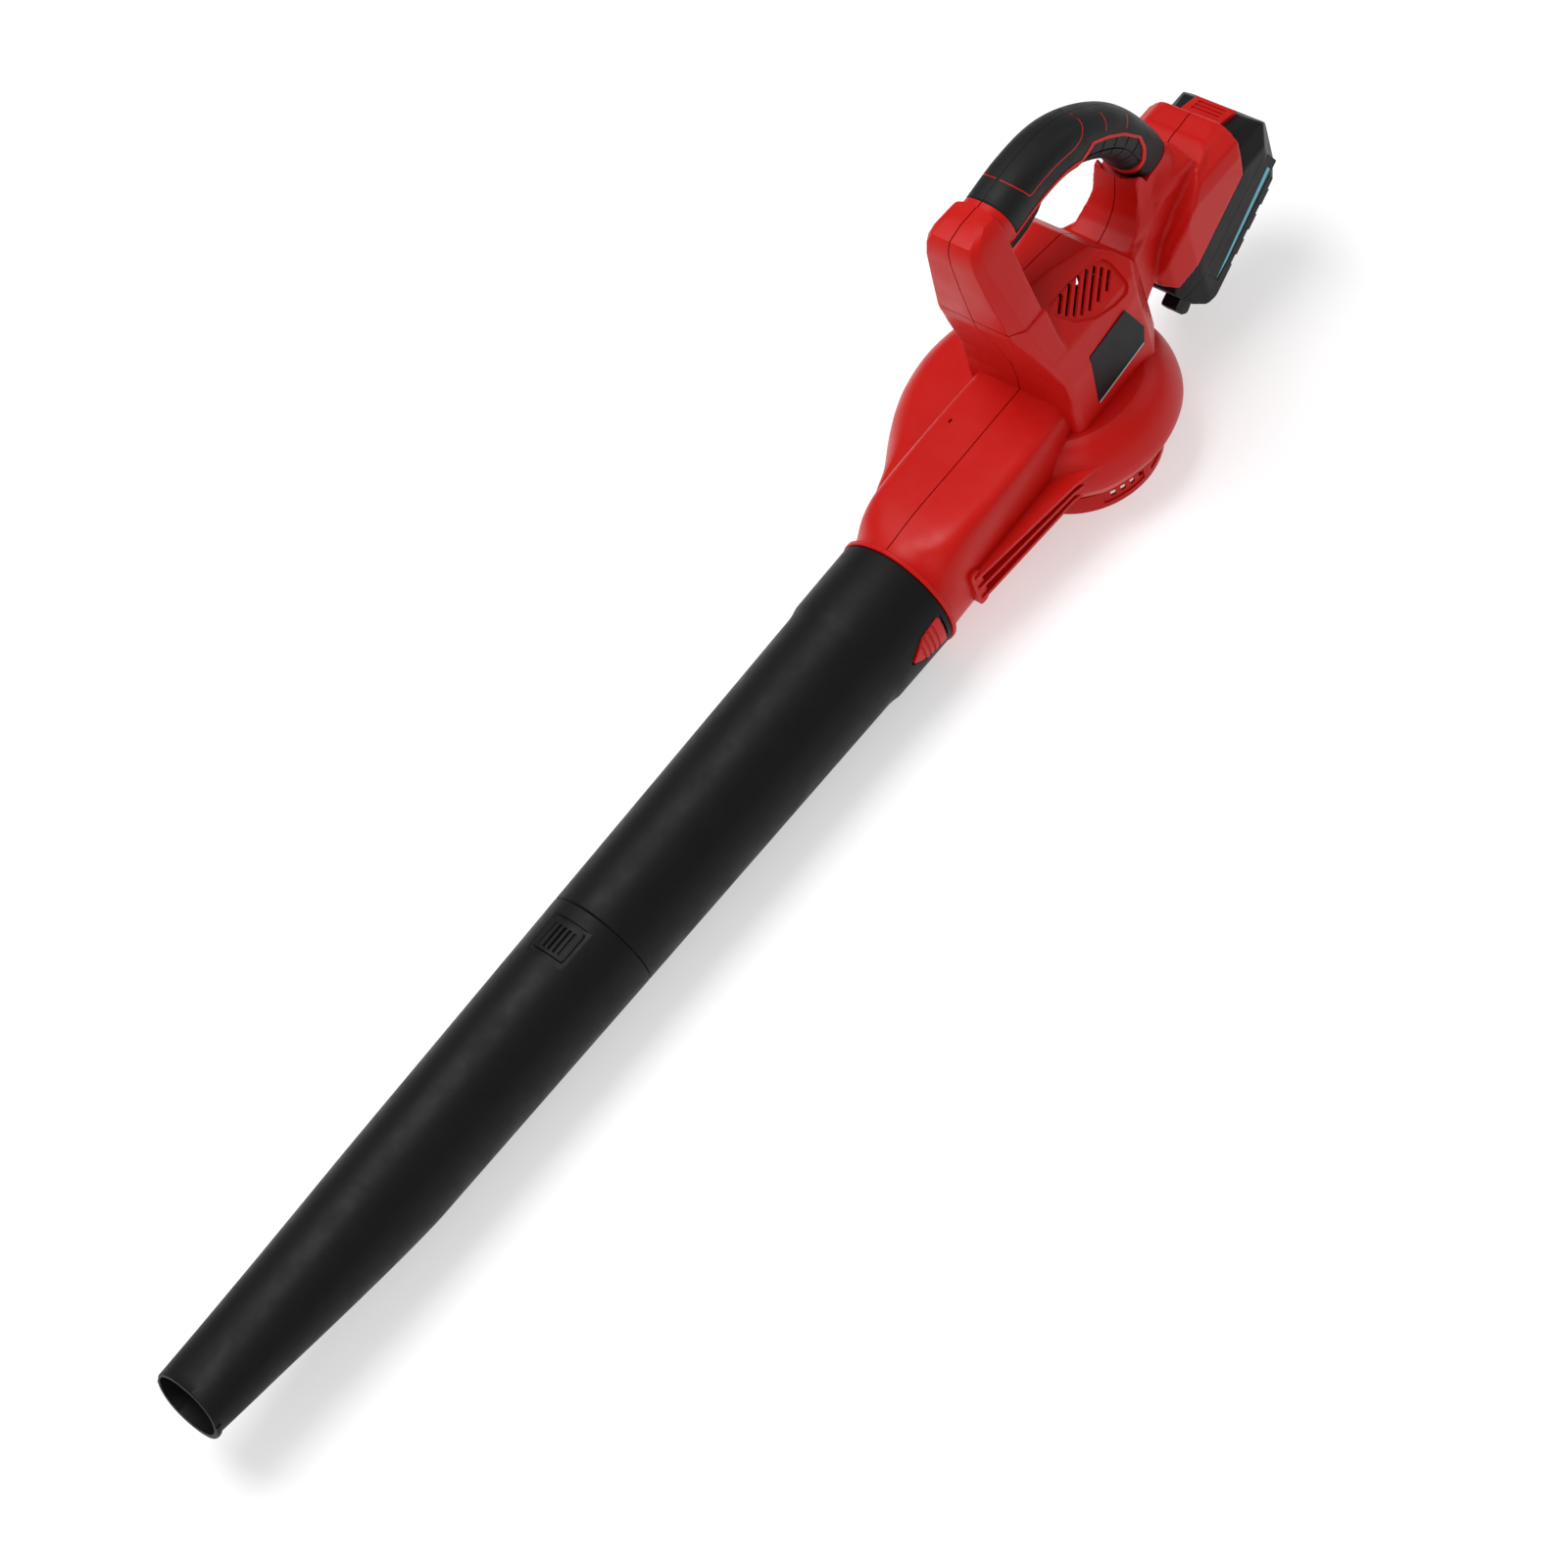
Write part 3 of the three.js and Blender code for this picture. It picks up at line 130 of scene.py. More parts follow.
class Path:
    """A centripetal Catmull-Rom curve read by share of its length."""

    def __init__(self, points, closed=False):
        p = [Vector(q) for q in points]
        count = len(p) if closed else len(p) - 1
        self.dots = []
        for k in range(count):
            p1 = p[k]
            p2 = p[(k + 1) % len(p)]
            p0 = p[k - 1] if k > 0 or closed else 2 * p1 - p2
            p3 = p[(k + 2) % len(p)] if k + 2 < len(p) or closed else 2 * p2 - p1
            self.dots += self.stretch(p0, p1, p2, p3)
        self.dots.append(p[0] if closed else p[-1])
        self.lengths = [0.0]
        for a, b in zip(self.dots, self.dots[1:]):
            self.lengths.append(self.lengths[-1] + (b - a).length)

    @staticmethod
    def stretch(p0, p1, p2, p3):
        d0, d1, d2 = (math.sqrt((b - a).length) for a, b in ((p0, p1), (p1, p2), (p2, p3)))
        t1 = ((p1 - p0) / d0 - (p2 - p0) / (d0 + d1) + (p2 - p1) / d1) * d1
        t2 = ((p2 - p1) / d1 - (p3 - p1) / (d1 + d2) + (p3 - p2) / d2) * d1
        c2 = 3 * (p2 - p1) - 2 * t1 - t2
        c3 = 2 * (p1 - p2) + t1 + t2
        return [p1 + t1 * t + c2 * t ** 2 + c3 * t ** 3 for t in steps(0, 1, STRETCH_DOTS)[:-1]]

    def at(self, share):
        """The point and the direction at a share of the length."""
        goal = min(1.0, max(0.0, share)) * self.lengths[-1]
        low = min(bisect_right(self.lengths, goal), len(self.lengths) - 1) - 1
        start, end = self.lengths[low:low + 2]
        t = (goal - start) / (end - start)
        return self.dots[low].lerp(self.dots[low + 1], t), self.direction(low + t)

    def direction(self, place):
        """The direction at a place counted in dots, blended between neighbouring stretches."""
        low = max(0, min(len(self.dots) - 2, int(place - 0.5)))
        high = min(len(self.dots) - 2, low + 1)
        t = min(1.0, max(0.0, place - 0.5 - low))
        a = (self.dots[low + 1] - self.dots[low]).normalized()
        b = (self.dots[high + 1] - self.dots[high]).normalized()
        return a.lerp(b, t).normalized()


def rounded(outline, radius, arc=5):
    """The outline with each corner turned into an arc; radius is one number or one for each corner."""
    count = len(outline)
    radii = radius if isinstance(radius, (list, tuple)) else [radius] * count
    made = []
    for i, corner in enumerate(outline):
        here = Vector(corner)
        before = Vector(outline[i - 1]) - here
        after = Vector(outline[(i + 1) % count]) - here
        half = before.angle(after) / 2
        if radii[i] == 0:
            made.append(here)
            continue
        reach = min(radii[i] / math.tan(half), 0.45 * before.length, 0.45 * after.length)
        reach = max(reach, 0.05)
        start = here + before.normalized() * reach
        end = here + after.normalized() * reach
        for t in steps(0, 1, arc):
            made.append(start * (1 - t) ** 2 + here * 2 * t * (1 - t) + end * t ** 2)
    return [tuple(p) for p in made]


def mirrored(half, axis=0):
    """An outline closed by its reflection in the middle line; a point on the line isn't repeated."""
    flip = (-1, 1) if axis == 0 else (1, -1)
    return half + [(p[0] * flip[0], p[1] * flip[1]) for p in reversed(half) if p[axis]]


def rectangle(us, vs):
    return [(us[0], vs[0]), (us[1], vs[0]), (us[1], vs[1]), (us[0], vs[1])]


def section(half_width, half_height, upper, sides, lower=None):
    """Points of a rounded section: exponent 2 is an ellipse, and larger ones are squarer."""
    made = []
    for i in range(sides):
        angle = 2 * math.pi * i / sides
        c, s = math.cos(angle), math.sin(angle)
        power = 2 / (upper if s > 0 or lower is None else lower)
        made.append((math.copysign(abs(c) ** power, c) * half_width,
                     math.copysign(abs(s) ** power, s) * half_height))
    return made


def through(stations, x):
    """Values between stations [place, value, ...], eased so that the skin has no kinks."""
    k = 0
    while k + 2 < len(stations) and x > stations[k + 1][0]:
        k += 1
    before = stations[max(0, k - 1)]
    a, b = stations[k], stations[k + 1]
    after = stations[min(len(stations) - 1, k + 2)]
    t = min(1.0, max(0.0, (x - a[0]) / (b[0] - a[0])))
    width = b[0] - a[0]
    made = []
    for i in range(1, len(a)):
        m1 = (b[i] - before[i]) / max(b[0] - before[0], 1e-6) * width
        m2 = (after[i] - a[i]) / max(after[0] - a[0], 1e-6) * width
        made.append((2 * t ** 3 - 3 * t ** 2 + 1) * a[i] + (t ** 3 - 2 * t ** 2 + t) * m1
                    + (3 * t ** 2 - 2 * t ** 3) * b[i] + (t ** 3 - t ** 2) * m2)
    return made


# ---- solids and booleans


def linked(name, data):
    made = bpy.data.objects.new(name, data)
    bpy.context.scene.collection.objects.link(made)
    return made


def solid(points, faces):
    """A closed mesh object from points in millimetres, with its faces turned outwards."""
    mesh = bpy.data.meshes.new("solid")
    mesh.from_pydata([Vector(p) * MM for p in points], [], faces)
    bm = bmesh.new()
    bm.from_mesh(mesh)
    bmesh.ops.recalc_face_normals(bm, faces=bm.faces)
    if bm.calc_volume(signed=True) < 0:
        bmesh.ops.reverse_faces(bm, faces=bm.faces)
    bm.to_mesh(mesh)
    bm.free()
    return linked("solid", mesh)


def loft(rings):
    """Skins rings that have the same number of points, and closes both ends."""
    size = len(rings[0])
    points = [p for ring in rings for p in ring]
    faces = []
    for k in range(len(rings) - 1):
        for i in range(size):
            a, b = k * size + i, k * size + (i + 1) % size
            faces.append((a, b, b + size, a + size))
    for start, ring in ((0, rings[0]), ((len(rings) - 1) * size, rings[-1])):
        points.append(sum((Vector(p) for p in ring), Vector()) / size)
        centre = len(points) - 1
        faces += [(start + i, start + (i + 1) % size, centre) for i in range(size)]
    return solid(points, faces)


def prism(outline, near, far, place):
    """An outline of (u, v) pairs made solid between two depths; place(u, v, depth) is a point."""
    size = len(outline)
    points = [place(u, v, depth) for depth in (near, far) for u, v in outline]
    faces = [tuple(range(size)), tuple(range(2 * size - 1, size - 1, -1))]
    for i in range(size):
        j = (i + 1) % size
        faces.append((i, j, j + size, i + size))
    return solid(points, faces)


def side_solid(outline, y0, y1):
    return prism(outline, y0, y1, lambda u, v, w: (u, w, v))


def side_plate(outline, side, near, far):
    """An outline made solid between two distances from the middle plane, on one side of it."""
    return side_solid(outline, *sorted((side * near, side * far)))


def front_solid(outline, x0, x1):
    return prism(outline, x0, x1, lambda u, v, w: (w, u, v))


def plan_solid(outline, z0, z1):
    return prism(outline, z0, z1, lambda u, v, w: (u, v, w))


def box(xs, ys, zs):
    return plan_solid(rectangle(xs, ys), *zs)


def spokes(axis, count):
    """Unit vectors evenly spaced round an axis."""
    across = axis.orthogonal().normalized()
    other = axis.cross(across)
    turns = [2 * math.pi * k / count for k in range(count)]
    return [across * math.cos(a) + other * math.sin(a) for a in turns]


def turned(profile, origin, axis, sides=SIDES):
    """A closed profile of (along, radius) pairs turned about a line."""
    axis = Vector(axis).normalized()
    size = len(profile)
    points, faces = [], []
    for k, out in enumerate(spokes(axis, sides)):
        points += [Vector(origin) + axis * along + out * radius for along, radius in profile]
        for i in range(size):
            j = (i + 1) % size
            n = (k + 1) % sides
            faces.append((k * size + i, k * size + j, n * size + j, n * size + i))
    return solid(points, faces)


def round_tube(profile, sides=SIDES):
    """A closed profile turned about the blow tube's axis."""
    return turned(profile, (0, 0, AXIS), (1, 0, 0), sides)


def round_upright(profile, sides=SIDES):
    return turned(profile, (0, 0, 0), (0, 0, 1), sides)


def tube_core(x0, radius0, x1, radius1):
    """A tapered round solid on the blow tube's axis, with a needle-thin hole along it."""
    return round_tube([(x0, 0.5), (x0, radius0), (x1, radius1), (x1, 0.5)])


def rod(start, end, radius, sides=32):
    start, end = Vector(start), Vector(end)
    outs = spokes((end - start).normalized(), sides)
    return loft([[tip + out * radius for out in outs] for tip in (start, end)])


def settle(made):
    """Turns an object's modifiers into its mesh."""
    bpy.context.view_layer.update()
    graph = bpy.context.evaluated_depsgraph_get()
    mesh = bpy.data.meshes.new_from_object(made.evaluated_get(graph))
    made.modifiers.clear()
    made.data = mesh
    return made


def bevelled(made, width, angle=30):
    """Rounds the edges that are sharper than an angle."""
    bevel = made.modifiers.new("bevel", "BEVEL")
    bevel.width = width * MM
    bevel.segments = 3
    bevel.angle_limit = math.radians(angle)
    return settle(made)


def spun(made, degrees):
    """Turns a solid about the fan's axis."""
    made.data.transform(Matrix.Rotation(math.radians(degrees), 4, "Z"))
    return made


def boolean(made, tool, operation):
    modifier = made.modifiers.new("boolean", "BOOLEAN")
    modifier.operation = operation
    modifier.solver = "MANIFOLD"
    modifier.object = tool
    settle(made)
    bpy.data.objects.remove(tool)


def cut(made, *tools):
    for tool in tools:
        boolean(made, tool, "DIFFERENCE")
    return made


def unite(made, *tools):
    for tool in tools:
        boolean(made, tool, "UNION")
    return made


def common(made, *tools):
    for tool in tools:
        boolean(made, tool, "INTERSECT")
    return made


def copy_of(made):
    return linked(made.name + "_copy", made.data.copy())


def gathered(solids):
    """Several solids as one mesh object, not yet fused."""
    bm = bmesh.new()
    for one in solids:
        bm.from_mesh(one.data)
        bpy.data.objects.remove(one)
    mesh = bpy.data.meshes.new("gathered")
    bm.to_mesh(mesh)
    bm.free()
    return linked("gathered", mesh)


def moulded(solids, voxel, rounds):
    """Fuses overlapping solids into one skin and softens its edges, as moulded plastic has them."""
    made = gathered(solids)
    remesh = made.modifiers.new("fuse", "REMESH")
    remesh.mode = "VOXEL"
    remesh.voxel_size = voxel * MM
    soften = made.modifiers.new("soften", "SMOOTH")
    soften.factor = 0.5
    soften.iterations = rounds
    return settle(made)


def half_space(side):
    return box((-250, 300), sorted((side * GAP / 2, side * 200)), (-5, 300))


# ---- materials


class Nodes:
    """A material's node tree, written as a chain of short calls."""

    def __init__(self, name):
        self.material = bpy.data.materials.new(name)
        self.material.use_nodes = True
        self.tree = self.material.node_tree
        self.tree.nodes.clear()
        self.shader = self.add("ShaderNodeBsdfPrincipled")
        self.add("ShaderNodeOutputMaterial", Surface=self.shader.outputs["BSDF"])
        self.place = self.add("ShaderNodeTexCoord").outputs["Object"]

    def feed(self, node, **inputs):
        """Links or sets a node's inputs; an underscore stands for a space in an input's name."""
        for key, value in inputs.items():
            self.plug(node.inputs[key.replace("_", " ")], value)

    def plug(self, socket, value):
        if isinstance(value, bpy.types.NodeSocket):
            self.tree.links.new(value, socket)
        else:
            socket.default_value = value

    def add(self, kind, **inputs):
        node = self.tree.nodes.new(kind)
        self.feed(node, **inputs)
        return node

    def noise(self, scale, detail=3.0, roughness=0.5, stretch=None):
        source = self.place
        if stretch:
            source = self.add("ShaderNodeMapping", Vector=source, Scale=stretch).outputs["Vector"]
        return self.add("ShaderNodeTexNoise", Vector=source, Scale=scale, Detail=detail,
                        Roughness=roughness).outputs["Fac"]

    def spread(self, source, low, high, start=0.35, end=0.65):
        return self.add("ShaderNodeMapRange", Value=source, From_Min=start, From_Max=end,
                        To_Min=low, To_Max=high).outputs["Result"]

    def mix(self, factor, first, second):
        node = self.add("ShaderNodeMix")
        node.data_type = "RGBA"
        self.feed(node, Factor=factor)
        for socket, value in ((node.inputs[6], first), (node.inputs[7], second)):
            self.plug(socket, (*value, 1) if isinstance(value, tuple) else value)
        return node.outputs[2]

    def bump(self, height, strength, distance):
        return self.add("ShaderNodeBump", Height=height, Strength=strength,
                        Distance=distance).outputs["Normal"]

    def look(self, **inputs):
        """The finished material, with these inputs on its shader."""
        self.feed(self.shader, **inputs)
        return self.material


def tone(colour, share):
    return tuple(min(1.0, c * share) for c in colour)


def plastic(name, colour, roughness, grain=1400, grain_depth=0.00003, cloud=0.06, gloss=0.3,
            grain_strength=0.35):
    """Moulded plastic: a fine spark-eroded grain, slightly uneven colour and gloss."""
    nodes = Nodes(name)
    fine = nodes.noise(grain, 2)
    shade = nodes.spread(nodes.noise(14, 4), 0.0, 1.0, 0.3, 0.7)
    body = nodes.mix(shade, tone(colour, 1 - cloud), tone(colour, 1 + cloud))
    speck = nodes.spread(fine, 0.0, 1.0, 0.3, 0.7)
    scuff = nodes.noise(60, 5, 0.65)
    return nodes.look(Base_Color=nodes.mix(speck, body, colour), Specular_IOR_Level=gloss,
                      Roughness=nodes.spread(scuff, roughness - 0.05, roughness + 0.07),
                      Normal=nodes.bump(fine, grain_strength, grain_depth))


def metal(name, colour, roughness, brush=(1, 1, 60)):
    """Bare metal with a fine brushed or drawn grain and a slight stain."""
    nodes = Nodes(name)
    lines = nodes.noise(420, 3, 0.6, stretch=brush)
    stain = nodes.spread(nodes.noise(35, 5), 0.0, 1.0)
    return nodes.look(Base_Color=nodes.mix(stain, tone(colour, 0.82), tone(colour, 1.05)), Metallic=1.0,
                      Roughness=nodes.spread(lines, roughness - 0.08, roughness + 0.12),
                      Normal=nodes.bump(lines, 0.25, 0.00003))


def windings(name):
    """Enamelled copper wire laid side by side round the armature."""
    nodes = Nodes(name)
    wave = nodes.add("ShaderNodeTexWave", Vector=nodes.place, Scale=500, Distortion=1.2)
    wave.bands_direction = "Z"
    wires = wave.outputs["Fac"]
    return nodes.look(Base_Color=nodes.mix(wires, (0.2, 0.07, 0.03), (0.55, 0.22, 0.08)), Metallic=0.8,
                      Roughness=0.35, Normal=nodes.bump(wires, 0.6, 0.0002))


def circuit_board(name):
    """Green solder mask with darker tracks."""
    nodes = Nodes(name)
    bricks = nodes.add("ShaderNodeTexBrick", Vector=nodes.place, Scale=160, Mortar=(0.005, 0.08, 0.03, 1),
                       Color1=(0.01, 0.16, 0.05, 1), Color2=(0.015, 0.2, 0.07, 1))
    grime = nodes.spread(nodes.noise(90, 3), 0.0, 0.35)
    return nodes.look(Base_Color=nodes.mix(grime, bricks.outputs["Color"], (0.02, 0.12, 0.05)),
                      Roughness=0.4, Normal=nodes.bump(bricks.outputs["Fac"], 0.3, 0.0001))


RED = (0.53, 0.006, 0.0035)
BLACK = (0.0075, 0.0075, 0.008)

LOOKS = {
    "red": plastic("red_plastic", RED, 0.38, cloud=0.05, gloss=0.2),
    "black": plastic("black_plastic", BLACK, 0.46, grain=900, grain_depth=0.00005, cloud=0.04,
                     gloss=0.12),
    "case": plastic("black_case_plastic", tone(BLACK, 1.2), 0.45, grain=1100, cloud=0.12, gloss=0.16),
    "rubber": plastic("soft_grip_rubber", tone(BLACK, 1.1), 0.52, grain=1500,
                      grain_depth=0.00006, grain_strength=0.6, cloud=0.1, gloss=0.2),
    "film": plastic("label_film", tone(BLACK, 0.9), 0.34, gloss=0.12, grain=2500, grain_depth=0.00001),
    "rim": plastic("label_edge", (0.42, 0.42, 0.44), 0.35, grain=2500, grain_depth=0.00001),
    "blue": plastic("printed_blue", (0.11, 0.42, 0.52), 0.4, grain=2000, grain_depth=0.00001),
    "fibre": plastic("filled_nylon", (0.012, 0.013, 0.015), 0.5, grain=500, grain_depth=0.00008),
    "sleeve": plastic("cell_sleeve", (0.03, 0.16, 0.36), 0.35, grain=700, grain_depth=0.00002),
    "red_lead": plastic("red_insulation", (0.5, 0.015, 0.012), 0.4, grain=1800),
    "black_lead": plastic("black_insulation", (0.015, 0.015, 0.015), 0.4, grain=1800),
    "steel": metal("bright_steel", (0.62, 0.63, 0.65), 0.28),
    "can": metal("plated_steel", (0.5, 0.51, 0.53), 0.38, brush=(60, 60, 1)),
    "brass": metal("contact_brass", (0.72, 0.5, 0.2), 0.3),
    "copper": windings("copper_windings"),
    "board": circuit_board("circuit_board"),
}


def piece(made, name, body, look):
    """Finishes a piece, which rides on its body in place of the CAD node of the same name, if any."""
    made.name = name
    made.data.name = name
    made.data.materials.clear()
    made.data.materials.append(LOOKS[look])
    made.data.shade_smooth()
    made.data.set_sharp_from_angle(angle=SHARP)
    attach(made, body)
    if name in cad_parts:
        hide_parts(name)


# ---- volute and duct

SCROLL = Path([
    (x, y, 0) for x, y in (
        (62, 46), (40, 66), (0, 77), (-39, 66.5), (-67, 38), (-77, 0), (-71, -41), (-50, -73),
        (-18, -96), (19, -104), (55, -99), (86, -85), (113, -67), (140, -50), (156, -32),
        (146, -14), (104, 14))
], closed=True)


def scroll_ring(rounding, shrink, z, sides=180):
    ring = []
    for i in range(sides):
        point, along = SCROLL.at(i / sides)
        inset = shrink + rounding * (1 - 0.8 * smoothstep(point.x, 85, 150))
        ring.append((point.x - along.y * inset, point.y + along.x * inset, z))
    return ring


def volute(low, high, shrink=0.0, count=14, sides=180):
    """The puffed scroll between two levels, from -1 at its bottom to 1 at its top."""
    half = VOLUTE_HALF - shrink
    rings = []
    for angle in steps(math.asin(low), math.asin(high), count):
        level = math.sin(max(-1.4, min(1.4, angle)))
        rounding = RIM_DEPTH * (1 - math.sqrt(1 - level * level))
        if level < 0:
            rounding = DISH_DEPTH * (-level) ** 1.3
        rings.append(scroll_ring(rounding, shrink + 0.5, EQUATOR + level * half, sides))
    return loft(rings)


DUCT = [
    (30, 58, 38, 41.5, 9.5, 2.6), (60, 57.5, 39.5, 41.5, 9, 2.5), (100, 57, 40.5, 41.3, 8, 2.3),
    (140, 56.5, 40.9, 41.8, 6, 2.1), (156, 55.4, 41.1, 41.8, 4, 2), (169, 54.2, 41, 41.4, 2.2, 2),
    (FLANGE - 3, AXIS, 41.8, 41.8, 2, 2),
]


def duct(shrink=0.0, start=30.0, sides=120, count=40):
    rings = []
    for x in steps(start, FLANGE - 3, count):
        z, w, h, upper, lower = through(DUCT, x)
        ring = section(w - shrink, h - shrink, upper, sides, lower)
        rings.append([(x, y, z + dz) for y, dz in ring])
    return loft(rings)


def gusset_fins():
    """Three long fins between the duct and the volute on the left."""
    fins = [side_solid(rounded(rectangle((144, 153), (37, 67)), 4), 30, 44)]
    for i, z in enumerate((62, 52, 42)):
        outline = [(40, 25), (40, 61 - i * 3), (60, 56 - i * 3), (150, 45.2), (150, 25)]
        fins.append(plan_solid(rounded(outline, [0, 0, 6, 1, 0]), z - 1.2, z + 1.2))
    return fins


def duct_end():
    """The flange lip and the spigot that the blow tube plugs onto, as one turned profile."""
    spigot = TUBE_SOCKET - 0.6
    end = SPIGOT_END
    profile = [
        (FLANGE - 8, DUCT_BORE), (FLANGE - 8, 39), (FLANGE - 3.6, 41), (FLANGE - 3.6, 44.2),
        (FLANGE - 3, 44.8), (FLANGE - 0.8, 44.8), (FLANGE - 0.2, 44.2), (FLANGE - 0.2, spigot),
        (end - 2, spigot), (end - 0.4, spigot - 0.8), (end, spigot - 1.2), (end, DUCT_BORE),
    ]
    return round_tube(profile, 96)


def duct_bore():
    bore = rod((FLANGE - 10, 0, AXIS), (SPIGOT_END + 1, 0, AXIS), DUCT_BORE, 96)
    return unite(duct(WALL, 31.5, sides=64, count=16), bore)


# ---- motor housing and struts


def motor_housing(shrink=0.0):
    """The motor housing is where its side, front and plan outlines agree."""
    s = shrink
    soft = 3 if s == 0 else 1
    side = [
        (35 - s, 70), (34 - s, 98), (32.6 - s, 109), (33.6 - s, 126), (40 - s, 149), (50 - s, 178),
        (51 - s, 187 - s), (24, 187 - s), (20, 183 - s), (-12, 180 - s), (-37, 176.5 - s),
        (-46 + s, 167 - s), (-58 + s, 146 - s), (-66 + s, 136), (-71 + s, 112), (-72 + s, 70),
    ]
    front = mirrored([(46 - s, 70), (46.5 - s, 124), (43 - s, 148 - s), (29 - s, 173 - s), (14, 181 - s),
                      (0, 184 - s)])
    nose = mirrored([(46 - s, 70), (46 - s, 128), (36 - s, 187 - s)])
    plan = mirrored([(51 - s, 27), (42 - s, 37 - s), (33 - s, 44 - s), (28, 47 - s), (-45, 45 - s),
                     (-67 + s, 27), (-72 + s, 14)], 1)
    whole = front_solid(rounded(front, soft * 2), -80, 60)
    unite(whole, front_solid(rounded(nose, soft), 22 + s, 60))
    return common(whole, side_solid(rounded(side, soft), -60, 60),
                  plan_solid(rounded(plan, soft), 60, 200))


STRUT = [
    (180, 50.2, 29, 41, 35.5, 22), (187, 51, 28.4, 41.5, 35, 22), (215, 52.4, 23.5, 44, 29, 21.5),
    (241, 53, 19.5, 46, 23, 20), (251, 51.5, 17.5, 45, 21, 20), (256.5, 48, 15, 41, 18, 20),
    (259.5, 36, 12, 32, 15, 20),
]


def front_strut(shrink=0.0):
    rings = []
    for z, front, face, chamfer, half, rear in STRUT:
        s = shrink
        outline = mirrored([(front - s, face - s), (chamfer - s, half - s),
                            (rear + 2 + s, half - 0.5 - s), (rear + s, half - 5 - s)], 1)
        level = z - s if z > 245 else z
        rings.append([(x, y, level) for x, y in rounded(outline, 2.0, 3)])
    return loft(rings)


REAR_STRUT = [
    (-136, 168, 14, 167, 27, 160, 128), (-108, 161, 14, 160, 24, 156, 105),
    (-94, 148.5, 14, 147, 23, 143, 99), (-78, 142.5, 15, 141.5, 25.5, 139, 97),
    (-60, 138.5, 18, 139, 31, 143, 96), (-46, 139, 20, 141, 33, 146, 96),
]


def rear_strut(shrink=0.0):
    """A saddle behind the motor housing that rises to the handle's foot."""
    s = shrink
    rings = []
    for x in steps(-46, -136, 18):
        middle, shoulder, shoulder_z, edge, edge_z, under = through(REAR_STRUT, x)
        ring = mirrored([(edge - s, under + s), (edge - s, edge_z - s), (shoulder, shoulder_z - s),
                         (0, middle - s)])
        rings.append([(x, y, z) for y, z in rounded(ring, [2, 5, 6, 0, 6, 5, 2], 4)])
    return loft(rings)


# ---- handle

HANDLE = Path([
    (x, 0, z) for x, z in (
        (38, 240), (16, 242), (-18, 246.7), (-47, 244.7), (-71, 233.6), (-95, 213),
        (-107.6, 191), (-115, 172), (-117, 150))
])


def neck_web():
    """The curved web that carries the saddle up into the handle's neck."""
    side = [(-108, 130), (-60, 130), (-60, 138), (-74, 144), (-83, 151), (-88.5, 160),
            (-93, 176), (-108, 180)]
    front = mirrored([(24, 130), (23, 144), (19, 156), (17, 182)])
    return common(side_solid(rounded(side, [0, 0, 1, 14, 14, 14, 3, 0], 8), -26, 26),
                  front_solid(rounded(front, [0, 6, 12, 4, 4, 12, 6, 0]), -110, -56))


def handle_point(u, y, n):
    """A point of the handle's own frame: share u of the path, across by y, out of the loop by n."""
    centre, along = HANDLE.at(u)
    return Vector((centre.x + along.z * n, y, centre.z - along.x * n))


def handle_bar(inset, start=0.0, end=1.0, count=90, sides=64, round_ends=0.0):
    """The bar between two shares of its path; it flares into a neck behind the grip."""
    rings = []
    for u in steps(start, end, count):
        flare = 1 + 0.4 * smoothstep(u, GRIP_END, 1)
        near = min(u - start, end - u) * HANDLE.lengths[-1]
        dip = 0.0
        if near < round_ends:
            dip = round_ends - math.sqrt(max(0.0, round_ends ** 2 - (round_ends - near) ** 2))
        ring = section(BAR_HALF_WIDTH * flare - inset - dip, BAR_HALF_HEIGHT * flare - inset - dip,
                       BAR_SQUARENESS, sides)
        rings.append([handle_point(u, y, n) for y, n in ring])
    return loft(rings)


def underside_strip(half, start, end, top, bottom, count=40):
    corners = rectangle((-half, half), (top, bottom))
    return loft([[handle_point(u, y, n) for y, n in corners] for u in steps(start, end, count)])


# The near side of the finger pad's frame, as (share of the path, out of the loop).
PAD_EDGE = [
    (0.441, -12.1), (0.461, -4.6), (0.497, 3.2), (0.571, 4.1), (0.648, 4.8), (0.736, 5.6),
    (0.785, 1.5), (0.817, -4.5), (0.831, -10.2), (0.849, -16),
]


def pad_region(inset):
    """All that the finger pad and its frame cover, seen from the side, moved in by an inset."""
    share = inset / HANDLE.lengths[-1]
    first, last = PAD_EDGE[0][0], PAD_EDGE[-1][0]
    upper = []
    for u, n in PAD_EDGE:
        lean = 1 - 2 * (u - first) / (last - first)
        upper.append((u + share * lean * 1.4, n - inset))
    corners = [(upper[0][0] - 0.012, -26)] + upper + [(upper[-1][0] + 0.012, -26)]
    under = [(u, -26) for u in steps(corners[-1][0], corners[0][0], 8)][1:-1]
    points = [handle_point(u, 0, n) for u, n in corners + under]
    return side_solid(rounded([(p.x, p.z) for p in points], 1.4), -60, 60)


def grip_surface(u, n, side):
    """A point of the grip's skin at height n on one side, and its outward normal."""
    share = min(1.0, abs(n) / BAR_HALF_HEIGHT)
    y = BAR_HALF_WIDTH * (1 - share ** BAR_SQUARENESS) ** (1 / BAR_SQUARENESS)
    power = BAR_SQUARENESS - 1
    across = (y / BAR_HALF_WIDTH) ** power / BAR_HALF_WIDTH
    outwards = math.copysign(share ** power / BAR_HALF_HEIGHT, n)
    normal = handle_point(u, side * across, outwards) - handle_point(u, 0, 0)
    normal.normalize()
    return handle_point(u, side * y, n), normal


